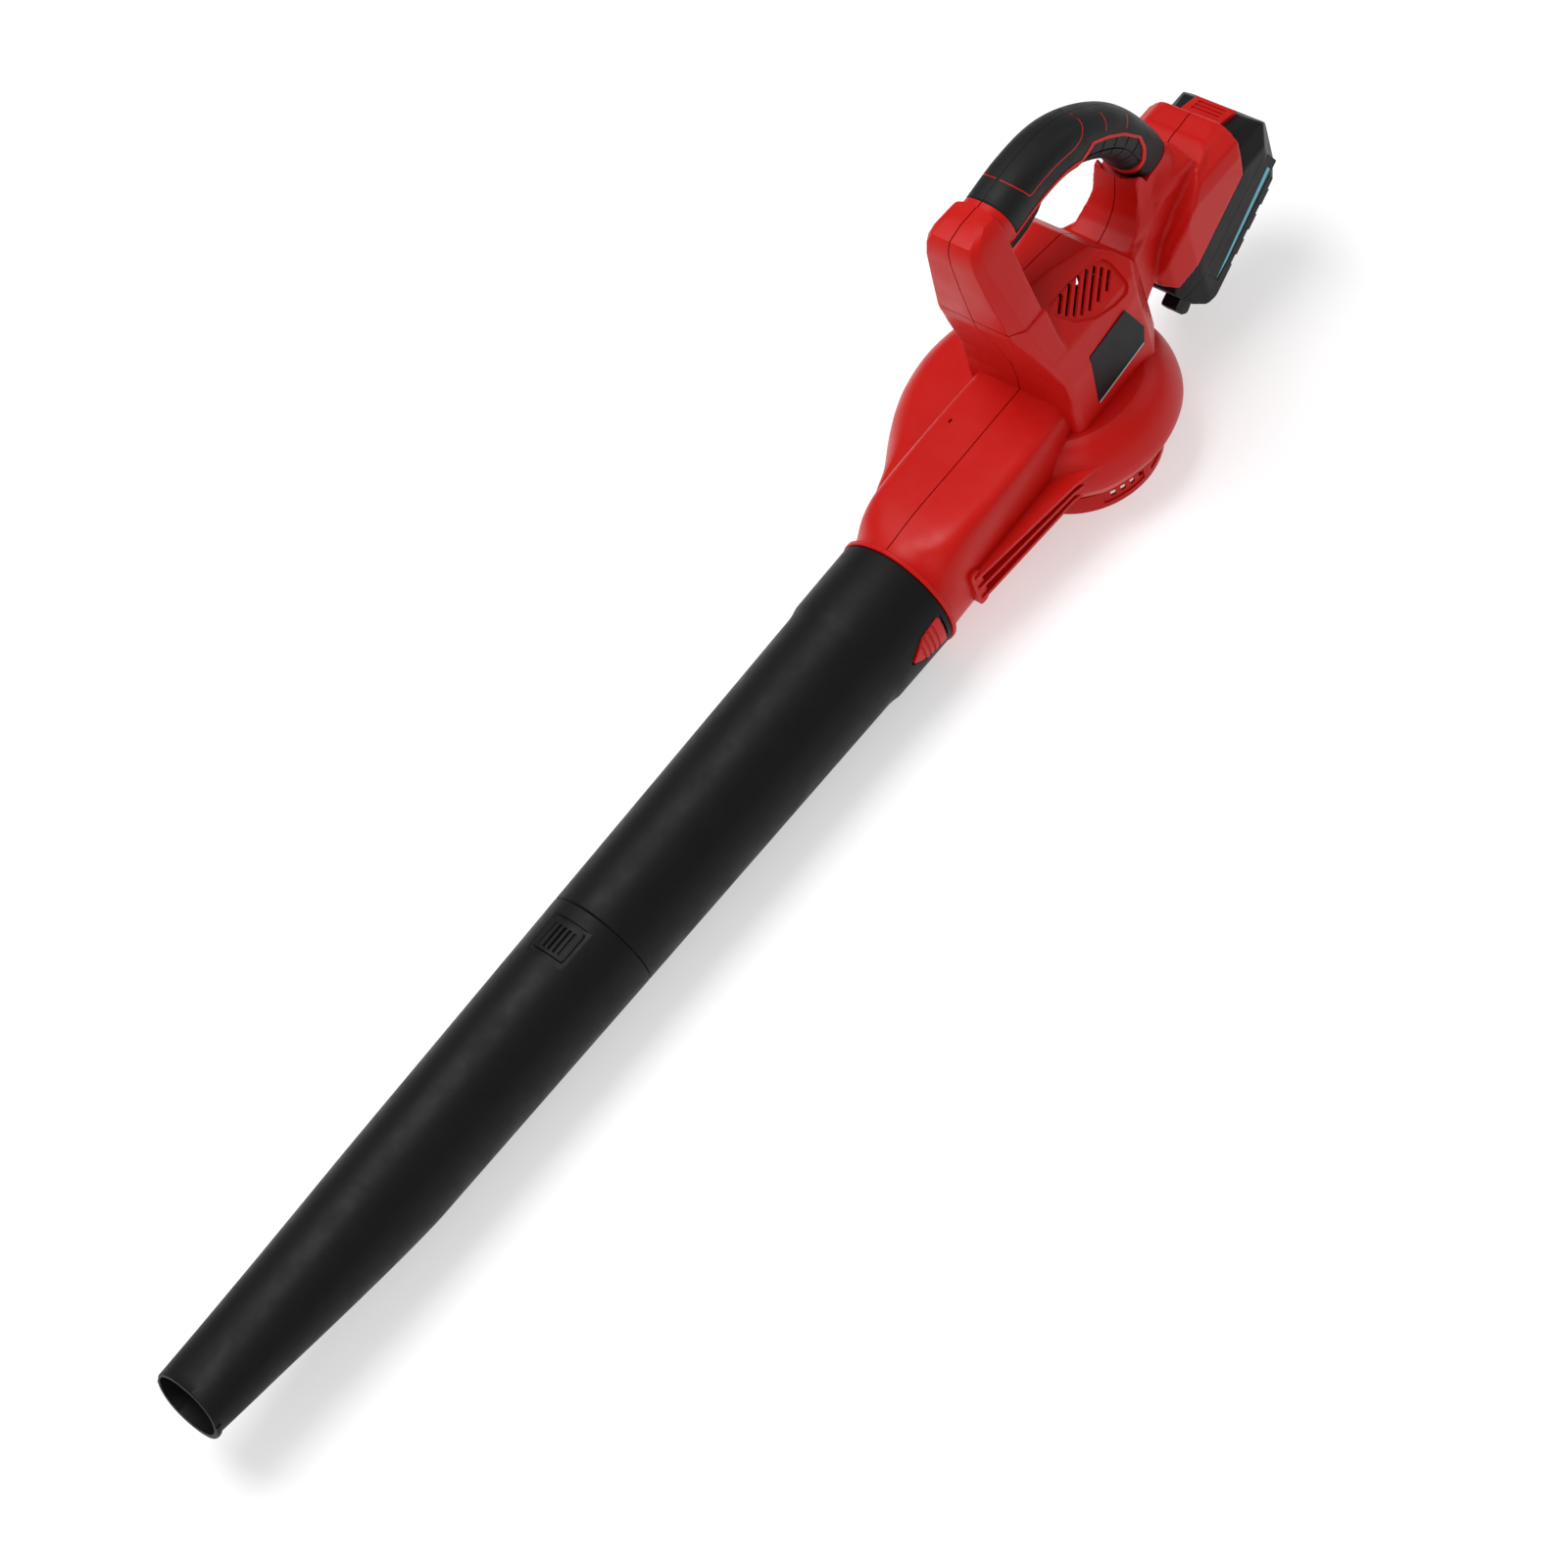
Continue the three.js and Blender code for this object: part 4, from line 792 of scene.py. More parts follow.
def inlay(route, side, half, depth, proud):
    """A ribbon let into the grip's skin along a route of (share, height) pairs."""
    path = Path([(u * 200, n, 0) for u, n in route])
    spots = []
    for t in steps(0, 1, 48):
        at, _ = path.at(t)
        spots.append(grip_surface(at.x / 200, at.y, side))
    rings = []
    for k, (point, normal) in enumerate(spots):
        ahead = spots[min(k + 1, len(spots) - 1)][0]
        behind = spots[max(k - 1, 0)][0]
        across = (ahead - behind).normalized().cross(normal).normalized()
        rings.append([point + across * a + normal * n for a, n in
                      rectangle((half, -half), (proud, -depth))])
    return loft(rings)


INLAY_ROUTES = [
    [(0.203, 16.98), (0.206, 14), (0.213, 9), (0.219, 4.8), (0.26, 4.4), (0.34, 4.3), (0.41, 4.4),
     (0.445, 7), (0.465, 11), (0.477, 14.3), (0.482, 16.98)],
    [(0.569, 15.6), (0.566, 11), (0.561, 6.8)],
    [(0.674, 14.6), (0.664, 10), (0.657, 6.8)],
]


# ---- battery holder


def pack_point(s, q):
    """A place in the battery's own frame, along the slide and down through the pack, as (x, z)."""
    return (SLIDE.x * s + DOWN.x * q, SLIDE.z * s + DOWN.z * q)


def pack_outline(along, down):
    return [pack_point(s, q) for s, q in rectangle(along, down)]


def pack_box(along, across, down):
    return side_solid(pack_outline(along, down), *across)


REAR_TOP = (-172, 157.5)
REAR_BOTTOM = (-165, 121.2)


def battery_holder(shrink=0.0):
    s = shrink
    soft = 1 if s else 4
    front_x, front_z = pack_point(119, MATE)
    side = [
        (REAR_TOP[0] + s, REAR_TOP[1] - s), (-150, 155 - s), (-134, 151.5 - s), (-113, 136 - s),
        (-92 - s, 116), (-79 - s, 99 + s), (-82, 92 + s), (front_x, front_z + s),
        (REAR_BOTTOM[0] + s, REAR_BOTTOM[1] + s),
    ]
    plan = mirrored([(-180, 28), (-166 + s, 38.5 - s), (-106, 38.5 - s), (-88, 33 - s), (-76, 22)], 1)
    front = mirrored([(39, 60), (39, 136), (35.5 - s, 147 - s), (26 - s, 154.5 - s), (15, 158.5 - s)])
    whole = side_solid(rounded(side, [soft] * 7 + [0.5, 0.5]), -45, 45)
    return common(whole, plan_solid(rounded(plan, soft), 70, 175),
                  front_solid(rounded(front, soft), -190, -60))


def holder_plateau():
    """The slightly raised panel on the holder's top that the handle's neck stands on."""
    plan = mirrored([(-152.5, 22), (-147, 28.5), (-120, 35.5), (-98, 29.5), (-84, 27)], 1)
    return common(battery_holder(-0.8),
                  plan_solid(rounded(plan, [6, 6, 8, 4, 1, 1, 4, 8, 6, 6]), 100, 170))


# ---- housing shells

SCREW_PLACES = [(42, 171), (37, 226), (-57, 113), (-128, 141), (-33, 164)]
LABEL = [(13, 87), (9, 130), (-30, 134.5), (-42, 106), (-38, 93)]
LENS = [
    (14, 174), (14.5, 168.5), (5.6, 156.2), (-7.9, 147.5), (-25, 141.5), (-37.6, 140.5), (-41, 145),
    (-41, 152), (-40, 163), (-37, 169), (-26, 172.5), (-8, 174),
]


def shoulder_slots(side):
    """Seven leaning slots through the motor housing's shoulder, which fill the lens."""
    lean = Vector((-0.815, 0.58))
    across = Vector((0.58, 0.815))
    slots = []
    for i, reach in enumerate((6, 9.6, 12.2, 13.8, 13.4, 10.4, 6.6)):
        middle = Vector((4.8 - 6.1 * i, 168.1 - 2.1 * i))
        corners = [tuple(middle + lean * a + across * b)
                   for a, b in rectangle((reach, -reach), (1.45, -1.45))]
        slots.append(side_plate(rounded(corners, 1.0, 3), side, 20, 60))
    return gathered(slots)


def corner_slots(side):
    """Upright grooves in the facet at the motor housing's rear corner, clear of the shell screw."""
    slots = []
    for i, (low, high) in enumerate(((112, 134), (98, 130), (84, 124))):
        if side < 0 and i == 1:
            continue
        outline = rounded(rectangle((-1.1, 1.1), (low, high)), 1.0, 3)
        slot = spun(side_plate(outline, side, -2.2, 6), side * 39.3)
        slot.data.transform(Matrix.Translation(
            Vector((-50.2 - i * 6.2, side * (40.8 - i * 5.1), 0)) * MM))
        slots.append(slot)
    return gathered(slots)


def lens_recess(side):
    """The shallow lens-shaped recess that the shoulder slots sit in."""
    return cut(side_plate(rounded(LENS, 4), side, 20, 60), motor_housing(1.5))


def hood_groove():
    """The line round the nose where the front strut's hood begins."""
    band = box((14, 60), (-50, 50), (185.6, 186.5))
    return cut(band, motor_housing(0.9))


def label_seat():
    seat = side_solid(rounded(LABEL, 1.5), -60, 60)
    return cut(seat, box((-60, 40), (-45.4, 45.4), (60, 150)))


def rubber_pocket():
    """What is taken off the bar so that the overmould lies flush on it."""
    pocket = handle_bar(-4, GRIP_START, GRIP_END)
    cut(pocket, handle_bar(RUBBER + GAP, GRIP_START - 0.02, GRIP_END + 0.02))
    return cut(pocket, underside_strip(30, GRIP_START - 0.02, RIB_END, RIB_TOP, -30))


def housing_rooms():
    """The hollow inside both shells."""
    rooms = volute(-0.98, 0.98, WALL, 8, 90)
    motor_room = cut(motor_housing(WALL), box((-90, 60), (-60, 60), (60, 82)))
    saddle_room = cut(rear_strut(WALL + 0.3), box((-60, -40), (-50, 50), (90, 110)))
    slot = pack_box((118.5, 260), (-29.6, 29.6), (-47.6, MATE + 3))
    latch_channel = box((FLANGE + 4, FLANGE + 60), (30, 60), (AXIS - 13, AXIS + 13))
    trigger_well = box((-24.5, 21.5), (-8, 8), (202, 240))
    return unite(
        rooms, duct_bore(), motor_room, front_strut(WALL + 0.3),
        handle_bar(RUBBER + WALL + 0.6, 0.03, 0.97, 30, 32), saddle_room,
        battery_holder(WALL + 0.3), slot, trigger_well, latch_channel,
        rod((0, 0, 70), (0, 0, 90), 6), rod((-105, 0, 182), (-117, 0, 138), 8),
    )


def below_split():
    """The space under the upper volute, but for the duct and its fins."""
    outline = [(x, y) for x, y, _ in scroll_ring(0, -8, 0)]
    space = plan_solid(outline, 0, EQUATOR)
    return cut(space, duct(0, sides=96), *gusset_fins())


def housing_body():
    """The whole red housing before it is split."""
    rib = common(handle_bar(-0.8, 0.1, RIB_END + 0.03), underside_strip(
        30, 0.1, RIB_END, RIB_TOP, -BAR_HALF_HEIGHT - 3))
    step = rod((0, 0, 60), (0, 0, EQUATOR + VOLUTE_HALF + 0.3), 57, 96)
    body = moulded([
        motor_housing(), rear_strut(), handle_bar(0), neck_web(), rib,
        battery_holder(), holder_plateau(),
    ], FINE, 4)
    unite(body, front_strut(), volute(-0.25, 1), step, duct(), duct_end(), *gusset_fins())
    notch = box((73.4, 77), (-26.4, -24.8), (94, 102))
    return cut(body, below_split(), rubber_pocket(), housing_rooms(), label_seat(), hood_groove(),
               notch)


def seam_tongue():
    """A thin rib inside the split line, a little below the surface, that closes the seam."""
    depth = SEAM_DEPTH
    whole = gathered([volute(-0.25, 1, depth, 24, 96)])
    unite(whole, duct(depth, 30 + depth), motor_housing(depth), front_strut(depth),
          rear_strut(depth), handle_bar(depth), battery_holder(depth))
    slab = box((-230, 176), (-SEAM_HALF - 0.5, SEAM_HALF + 0.5), (EQUATOR + 1, 270))
    common(whole, slab)
    return cut(whole, housing_rooms(), handle_bar(RUBBER + 3, GRIP_START + 0.01, GRIP_END - 0.01))


def add_housing():
    body = housing_body()
    channel = box((-190, FLANGE - 4), (-SEAM_HALF, SEAM_HALF), (EQUATOR - 0.5, 275))
    cut(body, cut(channel, duct_bore()))
    unite(body, seam_tongue())
    for side, name in ((1, "left_housing_shell"), (-1, "right_housing_shell")):
        shell = copy_of(body)
        common(shell, half_space(side))
        cut(shell, lens_recess(side), shoulder_slots(side), corner_slots(side))
        if side < 0:
            cut(shell, gathered([rod((x, -60, z), (x, -11, z), 3.9, 24) for x, z in SCREW_PLACES]))
        piece(shell, name, "housing", "red")
    bpy.data.objects.remove(body)


def intake_cover():
    """The lower dish of the volute, notched round the duct."""
    cover = volute(-0.94, 0.2, sides=240, count=24)
    keep = box((-120, 200), (-130, 130), (GRILLE_TOP, EQUATOR - GAP))
    common(cover, keep)
    throat = rod((0, 0, GRILLE_TOP - 2), (0, 0, GRILLE_TOP + 8), INLET_RADIUS, 96)
    cut(cover, volute(-0.9, 0.9, WALL, 10, 120), throat, duct(-GAP, sides=96), *gusset_fins())
    piece(cover, "intake_cover", "housing", "red")


def intake_grille():
    """A ring wall with ventilation slots, and rings and spokes across its open bottom."""
    top = GRILLE_TOP - GAP
    R = GRILLE_RADIUS
    wall = round_upright([
        (0.6, R - 2.5), (0, R - 2), (0, R - 0.9), (0.9, R), (top - 0.6, R + 1.1), (top, R + 0.8),
        (top, R - 5.8), (top - 2, R - 5.8), (top - 2, R - 2.5),
    ])
    for radius in (42, 26):
        ring = [(0.5, radius - 2), (0, radius - 1.5), (0, radius - 0.5), (0.5, radius), (3, radius),
                (3, radius - 2)]
        unite(wall, round_upright(ring, 96))
    unite(wall, rod((0, 0, 0), (0, 0, 3.2), 10, 48))
    for i in range(8):
        unite(wall, spun(box((6, R - 1.5), (-0.9, 0.9), (0.2, 3)), 45 * i))
    slots = []
    for group in range(8):
        panel = round_upright(rectangle((5.2, 15.4), (R - 0.7, R + 4)))
        turns = [math.radians(group * 40 + k * 11 + 54.3) for k in range(4)]
        sector = [(0, 0)] + [(R * 2 * math.cos(a), R * 2 * math.sin(a)) for a in turns]
        slots.append(common(panel, plan_solid(sector, 0, 20)))
        for i in range(4):
            slot = front_solid(rounded(rectangle((-1.9, 1.9), (8.7, 14.9)), 0.5, 3), R - 4, R + 4)
            slots.append(spun(slot, group * 40 + i * 7.8 + 62))
    cut(wall, *slots, duct(-GAP, sides=96))
    piece(wall, "intake_grille", "housing", "red")


def add_labels():
    """A black film plate on each side, with a light printed edge along its lower side."""
    outline = [(12.5, 87.6), (8.6, 129.5), (-29.8, 134), (-41.4, 106), (-37.5, 93.5)]
    edge = [(12.2, 87.9), (-37.2, 93.7), (-37.4, 94.8), (12.1, 89)]
    for side, name in ((1, "left_label"), (-1, "right_label")):
        plate = side_plate(rounded(outline, 1.2), side, 45.7, 46.25)
        piece(plate, name + "_plate", "housing", "film")
        line = side_plate(rounded(edge, 0.3, 2), side, 46.0, 46.45)
        piece(line, name + "_edge", "housing", "rim")


# ---- grip and trigger


def add_grip():
    shell = handle_bar(0, GRIP_START + 0.002, GRIP_END - 0.002, 140, 96, round_ends=0.8)
    cut(shell, handle_bar(RUBBER, 0.1, 0.92))
    cut(shell, underside_strip(30, 0.1, RIB_END, RIB_TOP + GAP, -30))
    for side, name in ((1, "left"), (-1, "right")):
        half = copy_of(shell)
        common(half, half_space(side))
        cut(half, pad_region(0))
        cut(half, *(inlay(route, side, 0.44, 0.95, 1.0) for route in INLAY_ROUTES))
        piece(half, name + "_grip_overmould", "housing", "rubber")
        lines = gathered([inlay(route, side, 0.42, 0.9, -0.05) for route in INLAY_ROUTES])
        common(lines, half_space(side))
        piece(lines, name + "_grip_inlay", "housing", "red")
        rim = handle_bar(-0.35, 0.4, 0.9)
        cut(rim, handle_bar(RUBBER, 0.38, 0.92))
        common(rim, pad_region(0.15), half_space(side))
        cut(rim, pad_region(2.2))
        piece(rim, name + "_pad_frame", "housing", "red")
    bpy.data.objects.remove(shell)


def groove_ring(u):
    """A thin hoop that cuts a groove across the pad's skin."""
    hoop = handle_bar(-2, u - 0.0024, u + 0.0024, 1)
    return cut(hoop, handle_bar(1.8, u - 0.01, u + 0.01, 1))


def finger_pad():
    """The grooved pad that wraps the underside of the grip inside its red frame."""
    pad = handle_bar(0.5, 0.4, 0.9, 120, 96)
    cut(pad, handle_bar(RUBBER, 0.38, 0.92))
    common(pad, pad_region(2.35))
    for u in steps(0.5, 0.8, 5):
        cut(pad, groove_ring(u))
    for side in (1, -1):
        cut(pad, inlay([(0.44, -8.5), (0.55, -6.5), (0.7, -6), (0.86, -9.5)], side, 0.6, 1.7, 1.0))
    piece(pad, "finger_grip_pad", "housing", "rubber")


def add_trigger():
    outline = [
        (19.6, 237), (19.6, 219), (15, 213.5), (-6, 215.5), (-18, 219.5), (-23, 223), (-23, 228.5),
        (-8, 232.5), (10, 237),
    ]
    body = side_solid(rounded(outline, [0.5, 3, 4, 12, 6, 2, 2, 2, 1]), -7.5, 7.5)
    piece(bevelled(body, 1.1, 40), "trigger", "trigger", "black")


def trigger_spring():
    """The coil spring over the trigger; the real spring shortens as the trigger is pulled, but this one
    keeps one length.
    """
    radius, wire, length, turns = 2.6, 0.28, 7.2, 3
    rings = []
    for t in steps(0, 1, turns * 24):
        angle = t * turns * 2 * math.pi
        out = Vector((math.cos(angle), math.sin(angle), 0))
        centre = Vector((-13, 0, 232.8 + wire + t * (length - 2 * wire))) + out * radius
        rings.append([centre + (out * x + Vector((0, 0, z))) * wire for x, z in section(1, 1, 2, 10)])
    spring = loft(rings)
    piece(spring, "trigger_spring", "housing", "steel")
    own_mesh(spring)


# ---- blow tube and nozzle


def tube_radius(x):
    return lerp(41.7, JOINT_RADIUS, (x - COLLAR_END) / (JOINT - COLLAR_END))


def latch_outline(grow):
    return [
        (FLANGE + 7 - grow, AXIS - 12 - grow), (FLANGE + 24, AXIS - 9.5 - grow),
        (FLANGE + 38 + grow, AXIS), (FLANGE + 24, AXIS + 9.5 + grow),
        (FLANGE + 7 - grow, AXIS + 12 + grow),
    ]


def add_tube():
    end = JOINT - GAP
    bore = JOINT_RADIUS - 5.4
    profile = [
        (FLANGE + GAP, TUBE_SOCKET), (FLANGE + GAP, COLLAR_RADIUS - 0.4),
        (FLANGE + GAP + 0.8, COLLAR_RADIUS + 0.4), (COLLAR_END - 3, COLLAR_RADIUS - 0.2),
        (COLLAR_END - 0.6, COLLAR_RADIUS - 0.7), (COLLAR_END + 2.4, tube_radius(COLLAR_END) + 0.35),
        (COLLAR_END + 6, tube_radius(COLLAR_END + 6)), (end - 0.7, JOINT_RADIUS),
        (end, JOINT_RADIUS - 0.6), (end, JOINT_RADIUS - 3), (TUBE_END - 2, JOINT_RADIUS - 3.2),
        (TUBE_END, JOINT_RADIUS - 4.2), (TUBE_END, bore), (JOINT - 10, bore),
        (JOINT - 13, JOINT_RADIUS - TUBE_WALL - 0.4), (SPIGOT_END + 8, TUBE_SOCKET - 0.4),
        (SPIGOT_END + 7, bore + 2), (SPIGOT_END + 4, bore + 2), (SPIGOT_END + 4, TUBE_SOCKET),
    ]
    tube = round_tube(profile, 160)
    well = side_solid(rounded(latch_outline(2.6), 3), COLLAR_RADIUS - 1.4, 60)
    opening = side_solid(rounded(latch_outline(0.35), 1.2), 30, 60)
    key_top = AXIS + JOINT_RADIUS
    key = box((JOINT + 8, JOINT + 60), (-13.5, 13.5), (key_top - 8, key_top + 60))
    cut(tube, well, opening, key)
    piece(tube, "blow_tube", "tube", "black")


def tube_latch():
    """A five-sided ribbed button that points forwards."""
    button = side_solid(rounded(latch_outline(0), 1.4), 30, 60)
    common(button, tube_core(FLANGE - 5, COLLAR_RADIUS + 1.4, FLANGE + 60, COLLAR_RADIUS + 0.9))
    cut(button, tube_core(FLANGE - 6, COLLAR_RADIUS - 2.6, FLANGE + 61, COLLAR_RADIUS - 2.6))
    for dx in (14, 18.5, 23, 27.5):
        x = FLANGE + dx
        cut(button, round_tube([(x - 0.9, 50), (x - 0.9, COLLAR_RADIUS + 0.5), (x, COLLAR_RADIUS),
                                (x + 0.9, COLLAR_RADIUS + 0.5), (x + 0.9, 50)], 96))
    piece(button, "tube_latch_button", "tube_latch", "red")


def nozzle_ring(x, inset, lean=0.0, sides=SIDES):
    """Below the bend the ring is round; towards the mouth it narrows and its underside sweeps up."""
    taper = JOINT_RADIUS - 0.016 * (x - JOINT)
    bend = max(0.0, (x - BEND_START) / (MOUTH_BOTTOM - BEND_START)) ** 1.35
    half_width = lerp(taper, MOUTH_HALF_WIDTH, bend) - inset
    half_height = lerp(taper, MOUTH_HALF_HEIGHT, bend) - inset
    ring = section(half_width, half_height, 2.0 + 0.2 * bend, sides)
    return [(x - lean * dz / MOUTH_HALF_HEIGHT, y, AXIS + MOUTH_RISE * bend + dz) for y, dz in ring]


def add_nozzle():
    middle = (MOUTH_TOP + MOUTH_BOTTOM) / 2
    lean = (MOUTH_BOTTOM - MOUTH_TOP) / 2
    ends = [nozzle_ring(JOINT, 0.7), nozzle_ring(JOINT + 0.8, 0)]
    body = [nozzle_ring(x, 0, lean * smoothstep(x, middle - 60, middle)) for x in
            steps(JOINT + 2, middle - 0.6, 60)]
    outside = loft(ends + body + [nozzle_ring(middle, 0.5, lean)])
    lip = loft([nozzle_ring(middle - d, -g, lean) for d, g in
                ((4.5, -0.2), (3.6, 0.9), (2.6, 1.25), (1.2, 1.3), (0.3, 0.9), (0, 0.2))])
    common(lip, box((MOUTH_TOP - 12, MOUTH_BOTTOM + 5), (-40, 40), (0, AXIS + MOUTH_RISE)))
    unite(outside, lip)
    bore_rings = [nozzle_ring(x, TUBE_WALL, lean * smoothstep(x, middle - 60, middle), 96)
                  for x in steps(TUBE_END - 6, middle, 30)]
    bore = loft(bore_rings + [nozzle_ring(middle + 12, TUBE_WALL, lean, 96)])
    socket = tube_core(JOINT - 1, JOINT_RADIUS - 2.6, TUBE_END + 4, JOINT_RADIUS - 2.8)
    cut(outside, bore, socket, button_block(0.4, 10, 26))
    frame_top = AXIS + JOINT_RADIUS
    ledge = box((JOINT + 10, JOINT + 39), (-15.5, 15.5), (frame_top - 3.4, frame_top + 5))
    cut(ledge, tube_core(JOINT - 5, JOINT_RADIUS - 1.9, JOINT + 60, JOINT_RADIUS - 2.8))
    cut(outside, ledge)
    piece(outside, "nozzle", "nozzle", "black")


def button_block(grow, below, above):
    z = AXIS + JOINT_RADIUS
    x = JOINT + 13
    outline = rectangle((x - grow, x + 22 + grow), (-12.5 - grow, 12.5 + grow))
    return plan_solid(rounded(outline, 2.0, 4), z - below, z + above)


def nozzle_latch():
    """The ribbed button on top of the nozzle."""
    top = AXIS + JOINT_RADIUS
    button = button_block(0, 10, 26)
    common(button, tube_core(JOINT, JOINT_RADIUS - 0.2, JOINT + 60, JOINT_RADIUS - 1.1))
    cut(button, tube_core(JOINT - 1, JOINT_RADIUS - 2.5, JOINT + 61, JOINT_RADIUS - 2.6))
    gaps = []
    for y in (-8, -4, 0, 4, 8):
        outline = rectangle((JOINT + 15.5, JOINT + 33), (y - 1.25, y + 1.25))
        gaps.append(plan_solid(rounded(outline, 1.0, 3), top - 2.2, top + 20))
    cut(button, gathered(gaps))
    unite(button, box((JOINT + 16, JOINT + 26), (-5, 5), (top - 5, top - 2.3)))
    piece(button, "nozzle_latch_button", "nozzle_latch", "black")


# ---- battery

PACK_OUTLINE = [
    (REAR_BOTTOM[0] - 0.6, REAR_BOTTOM[1]), (-172, 145), (-194, 139), (-203.5, 128), (-209.4, 105),
    (-206, 95), (-117, 50.6), (-107, 52), (-98, 60), (-89, 76), pack_point(119, MATE + GAP),
]
CELL_ROOM = ((124.8, 219.2), (-33.2, 33.2), (-21.8, 1.5))
BOARD_ROOM = ((124.8, 200), (-24, 24), (-26, -20))
PRESS = Vector((0.262, 0, -0.965))


def pack_outside():
    w = PACK_HALF
    plan = mirrored([(-212, 14), (-204, 29), (-190, w), (-110, w), (-97, 33), (-86, 27)], 1)
    across = mirrored([(w, 40), (w, 122), (w - 6, 135), (w - 18, 146)])
    radii = [0.5, 3, 6, 6, 6, 5, 6, 4, 4, 6, 0.5]
    whole = side_solid(rounded(PACK_OUTLINE, radii), -w, w)
    common(whole, plan_solid(rounded(plan, 5), 40, 160), front_solid(rounded(across, 5), -220, -80))
    return moulded([whole], 0.9, 5)


def side_seats():
    """Shallow seats on both sides of the pack for the printed strips."""
    outline = pack_outline((135.7, 222.3), (-15.3, -1.7))
    return gathered([side_plate(outline, side, PACK_HALF - 1, PACK_HALF + 2) for side in (1, -1)])


def edge_notches():
    """Steps along the pack's outer bottom edge."""
    return gathered([side_plate(pack_outline((s, s + 7), (0.5, 9)), side, PACK_HALF - 1.6, PACK_HALF + 3)
                     for side in (1, -1) for s in (150, 168, 186, 204)])


def pack_foot(side):
    """A rounded foot at the pack's front end."""
    corners = [pack_point(s, q) for s, q in ((106, -15), (122, -15), (122, -1), (109, 2), (106, -4))]
    return bevelled(side_plate(rounded(corners, [3, 0.5, 0.5, 3, 3]), side, 14, 26), 1.4, 50)


def release_block(grow, depth, top):
    along = Vector((PRESS.z, 0, -PRESS.x))
    front = Vector((-176.5, 0, 145.4)) - along * grow
    rear = Vector((-193.8, 0, 140.7)) + along * grow
    corners = [front - PRESS * top, rear - PRESS * top, rear + PRESS * depth, front + PRESS * depth]
    outline = [(p.x, p.z) for p in corners]
    if grow == 0:
        outline = rounded(outline, [1.5, 1.5, 0.2, 0.2])
    return side_solid(outline, -16 - grow, 16 + grow)


def add_battery():
    whole = pack_outside()
    upper = copy_of(whole)
    unite(upper, pack_box(*NECK))
    common(upper, pack_box((90, 260), (-60, 60), (-90, PACK_SPLIT - GAP / 2)))
    slots = [pack_box((119, 141), (y - 2, y + 2), (-49, -38)) for y in (-14, 14)]
    cut(upper, pack_box(*CELL_ROOM), pack_box(*BOARD_ROOM),
        pack_box((125, 200), (-24, 24), (-45, PACK_SPLIT)),
        release_block(0.4, 16, 9), *slots, side_seats())
    piece(upper, "battery_upper_case", "battery", "case")
    lower = unite(whole, pack_foot(1), pack_foot(-1))
    common(lower, pack_box((90, 260), (-60, 60), (PACK_SPLIT + GAP / 2, 20)))
    cut(lower, pack_box(*CELL_ROOM), side_seats(), edge_notches())
    piece(lower, "battery_lower_case", "battery", "case")


def add_strips():
    """A black film on each side of the pack with a pale blue line along it."""
    outline = [pack_point(s, q) for s, q in ((136.6, -4.2), (215, -9.2), (215, -5.0), (150, -2.6))]
    for side, name in ((1, "left"), (-1, "right")):
        film = side_plate(pack_outline((136, 222), (-15, -2)), side, PACK_HALF - 0.7, PACK_HALF - 0.25)
        piece(film, name + "_battery_film", "battery", "film")
        line = side_plate(outline, side, PACK_HALF - 0.5, PACK_HALF - 0.1)
        piece(line, name + "_battery_strip", "battery", "blue")


def release_button():
    """The red ridged button on the pack's end block."""
    button = bevelled(release_block(0, 5, 1.2), 0.8)
    grooves = []
    for x in (-182, -185.6, -189.2):
        z = 145.6 + (x + 176.5) * 0.27
        grooves.append(box((x - 0.9, x + 0.9), (-11, 11), (z - 0.2, z + 5)))
    cut(button, gathered(grooves))
    piece(button, "battery_release_button", "release_button", "red")


# ---- carried-over CAD nodes

NODE_LOOKS = {
    "fibre": ["impeller"],
    "steel": ["impeller_nut", "motor_shaft", "*_bearing", "*_screw_*"],
    "can": ["motor_can", "motor_mount_plate"],
    "copper": ["armature"],
    "brass": ["commutator", "*_contact_blade"],
    "black": ["motor_end_bell", "power_switch", "terminal_block"],
    "board": ["*_board"],
    "sleeve": ["battery_cell_*", "smoothing_capacitor"],
    "red_lead": ["battery_lead", "motor_lead"],
    "black_lead": ["motor_return_lead"],
}


def dress_nodes():
    """Gives every CAD node that stays visible its material."""
    for look, patterns in NODE_LOOKS.items():
        for name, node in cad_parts.items():
            if any(fnmatch(name, pattern) for pattern in patterns):
                node.data.materials.clear()
                node.data.materials.append(LOOKS[look])


# ---- stage, light and camera


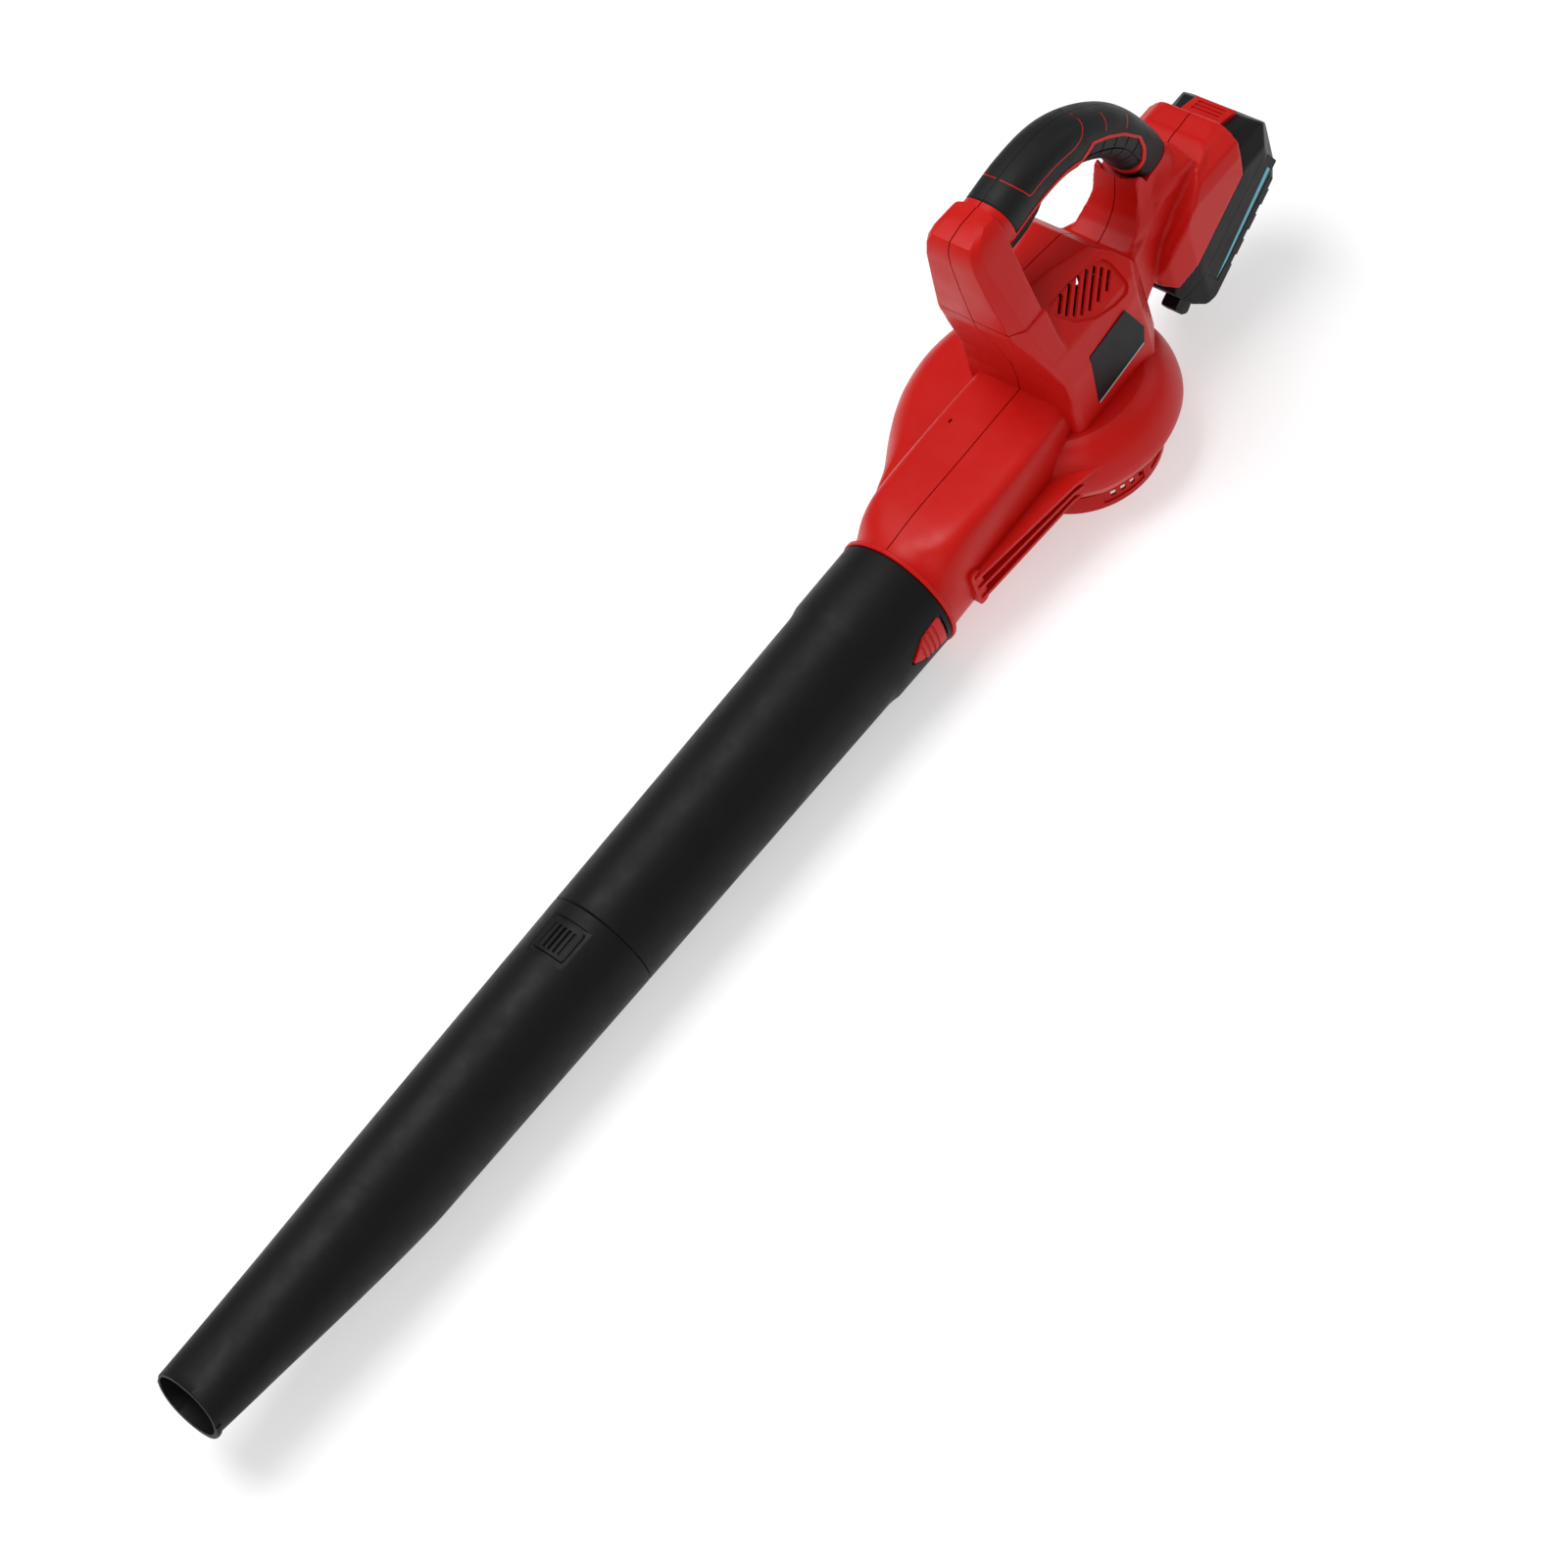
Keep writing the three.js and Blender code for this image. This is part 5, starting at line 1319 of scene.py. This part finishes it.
def add_stage():
    mesh = bpy.data.meshes.new("floor")
    size = 25.0
    mesh.from_pydata([(x, y, 0) for x, y in rectangle((-size, size), (-size, size))], [], [(0, 1, 2, 3)])
    floor = linked("floor", mesh)
    nodes = Nodes("pale_floor")
    shade = nodes.spread(nodes.noise(3, 2), 0.0, 1.0)
    mesh.materials.append(nodes.look(
        Base_Color=nodes.mix(shade, (0.6, 0.6, 0.61), (0.64, 0.64, 0.64)), Roughness=0.9,
        Emission_Color=(1, 1, 1, 1), Emission_Strength=0.5))


def area_light(name, place, target, size, power):
    light = bpy.data.lights.new(name, "AREA")
    light.shape = "RECTANGLE"
    light.size, light.size_y = size
    light.energy = power
    lamp = linked(name, light)
    lamp.location = place
    lamp.rotation_euler = (Vector(target) - Vector(place)).to_track_quat("-Z", "Y").to_euler()


def add_lights():
    world = bpy.data.worlds.new("studio")
    world.use_nodes = True
    background = world.node_tree.nodes["Background"]
    background.inputs["Color"].default_value = (1, 1, 1, 1)
    background.inputs["Strength"].default_value = 0.3
    bpy.context.scene.world = world
    aim = (0.2, 0, 0.1)
    area_light("overhead", (0.4, -0.6, 2.4), aim, (1.5, 1.5), 46)
    area_light("front", (1.9, 0.9, 1.2), aim, (1.2, 1.2), 7)
    area_light("rear", (-1.6, 0.8, 1.5), aim, (1.2, 1.2), 6)


CAMERA_PLACE = Vector((0.9073, 1.1314, 1.7262))
CAMERA_TARGET = Vector((0.3533, 0.0732, 0.1221))
CAMERA_ROLL = math.radians(26.9)
CAMERA_LENS = 76.86


def add_camera():
    data = bpy.data.cameras.new("camera")
    data.lens = CAMERA_LENS
    data.sensor_width = 36
    data.clip_end = 50
    camera = linked("camera", data)
    camera.location = CAMERA_PLACE
    look = (CAMERA_TARGET - CAMERA_PLACE).to_track_quat("-Z", "Y").to_matrix().to_4x4()
    camera.rotation_euler = (look @ Matrix.Rotation(-CAMERA_ROLL, 4, "Z")).to_euler()
    bpy.context.scene.camera = camera
    bpy.context.scene.view_settings.view_transform = "Standard"


# ---- assembly

add_camera()
add_stage()
add_lights()
add_housing()
intake_cover()
intake_grille()
add_labels()
add_grip()
finger_pad()
add_trigger()
trigger_spring()
add_tube()
tube_latch()
add_nozzle()
nozzle_latch()
add_battery()
add_strips()
release_button()
dress_nodes()
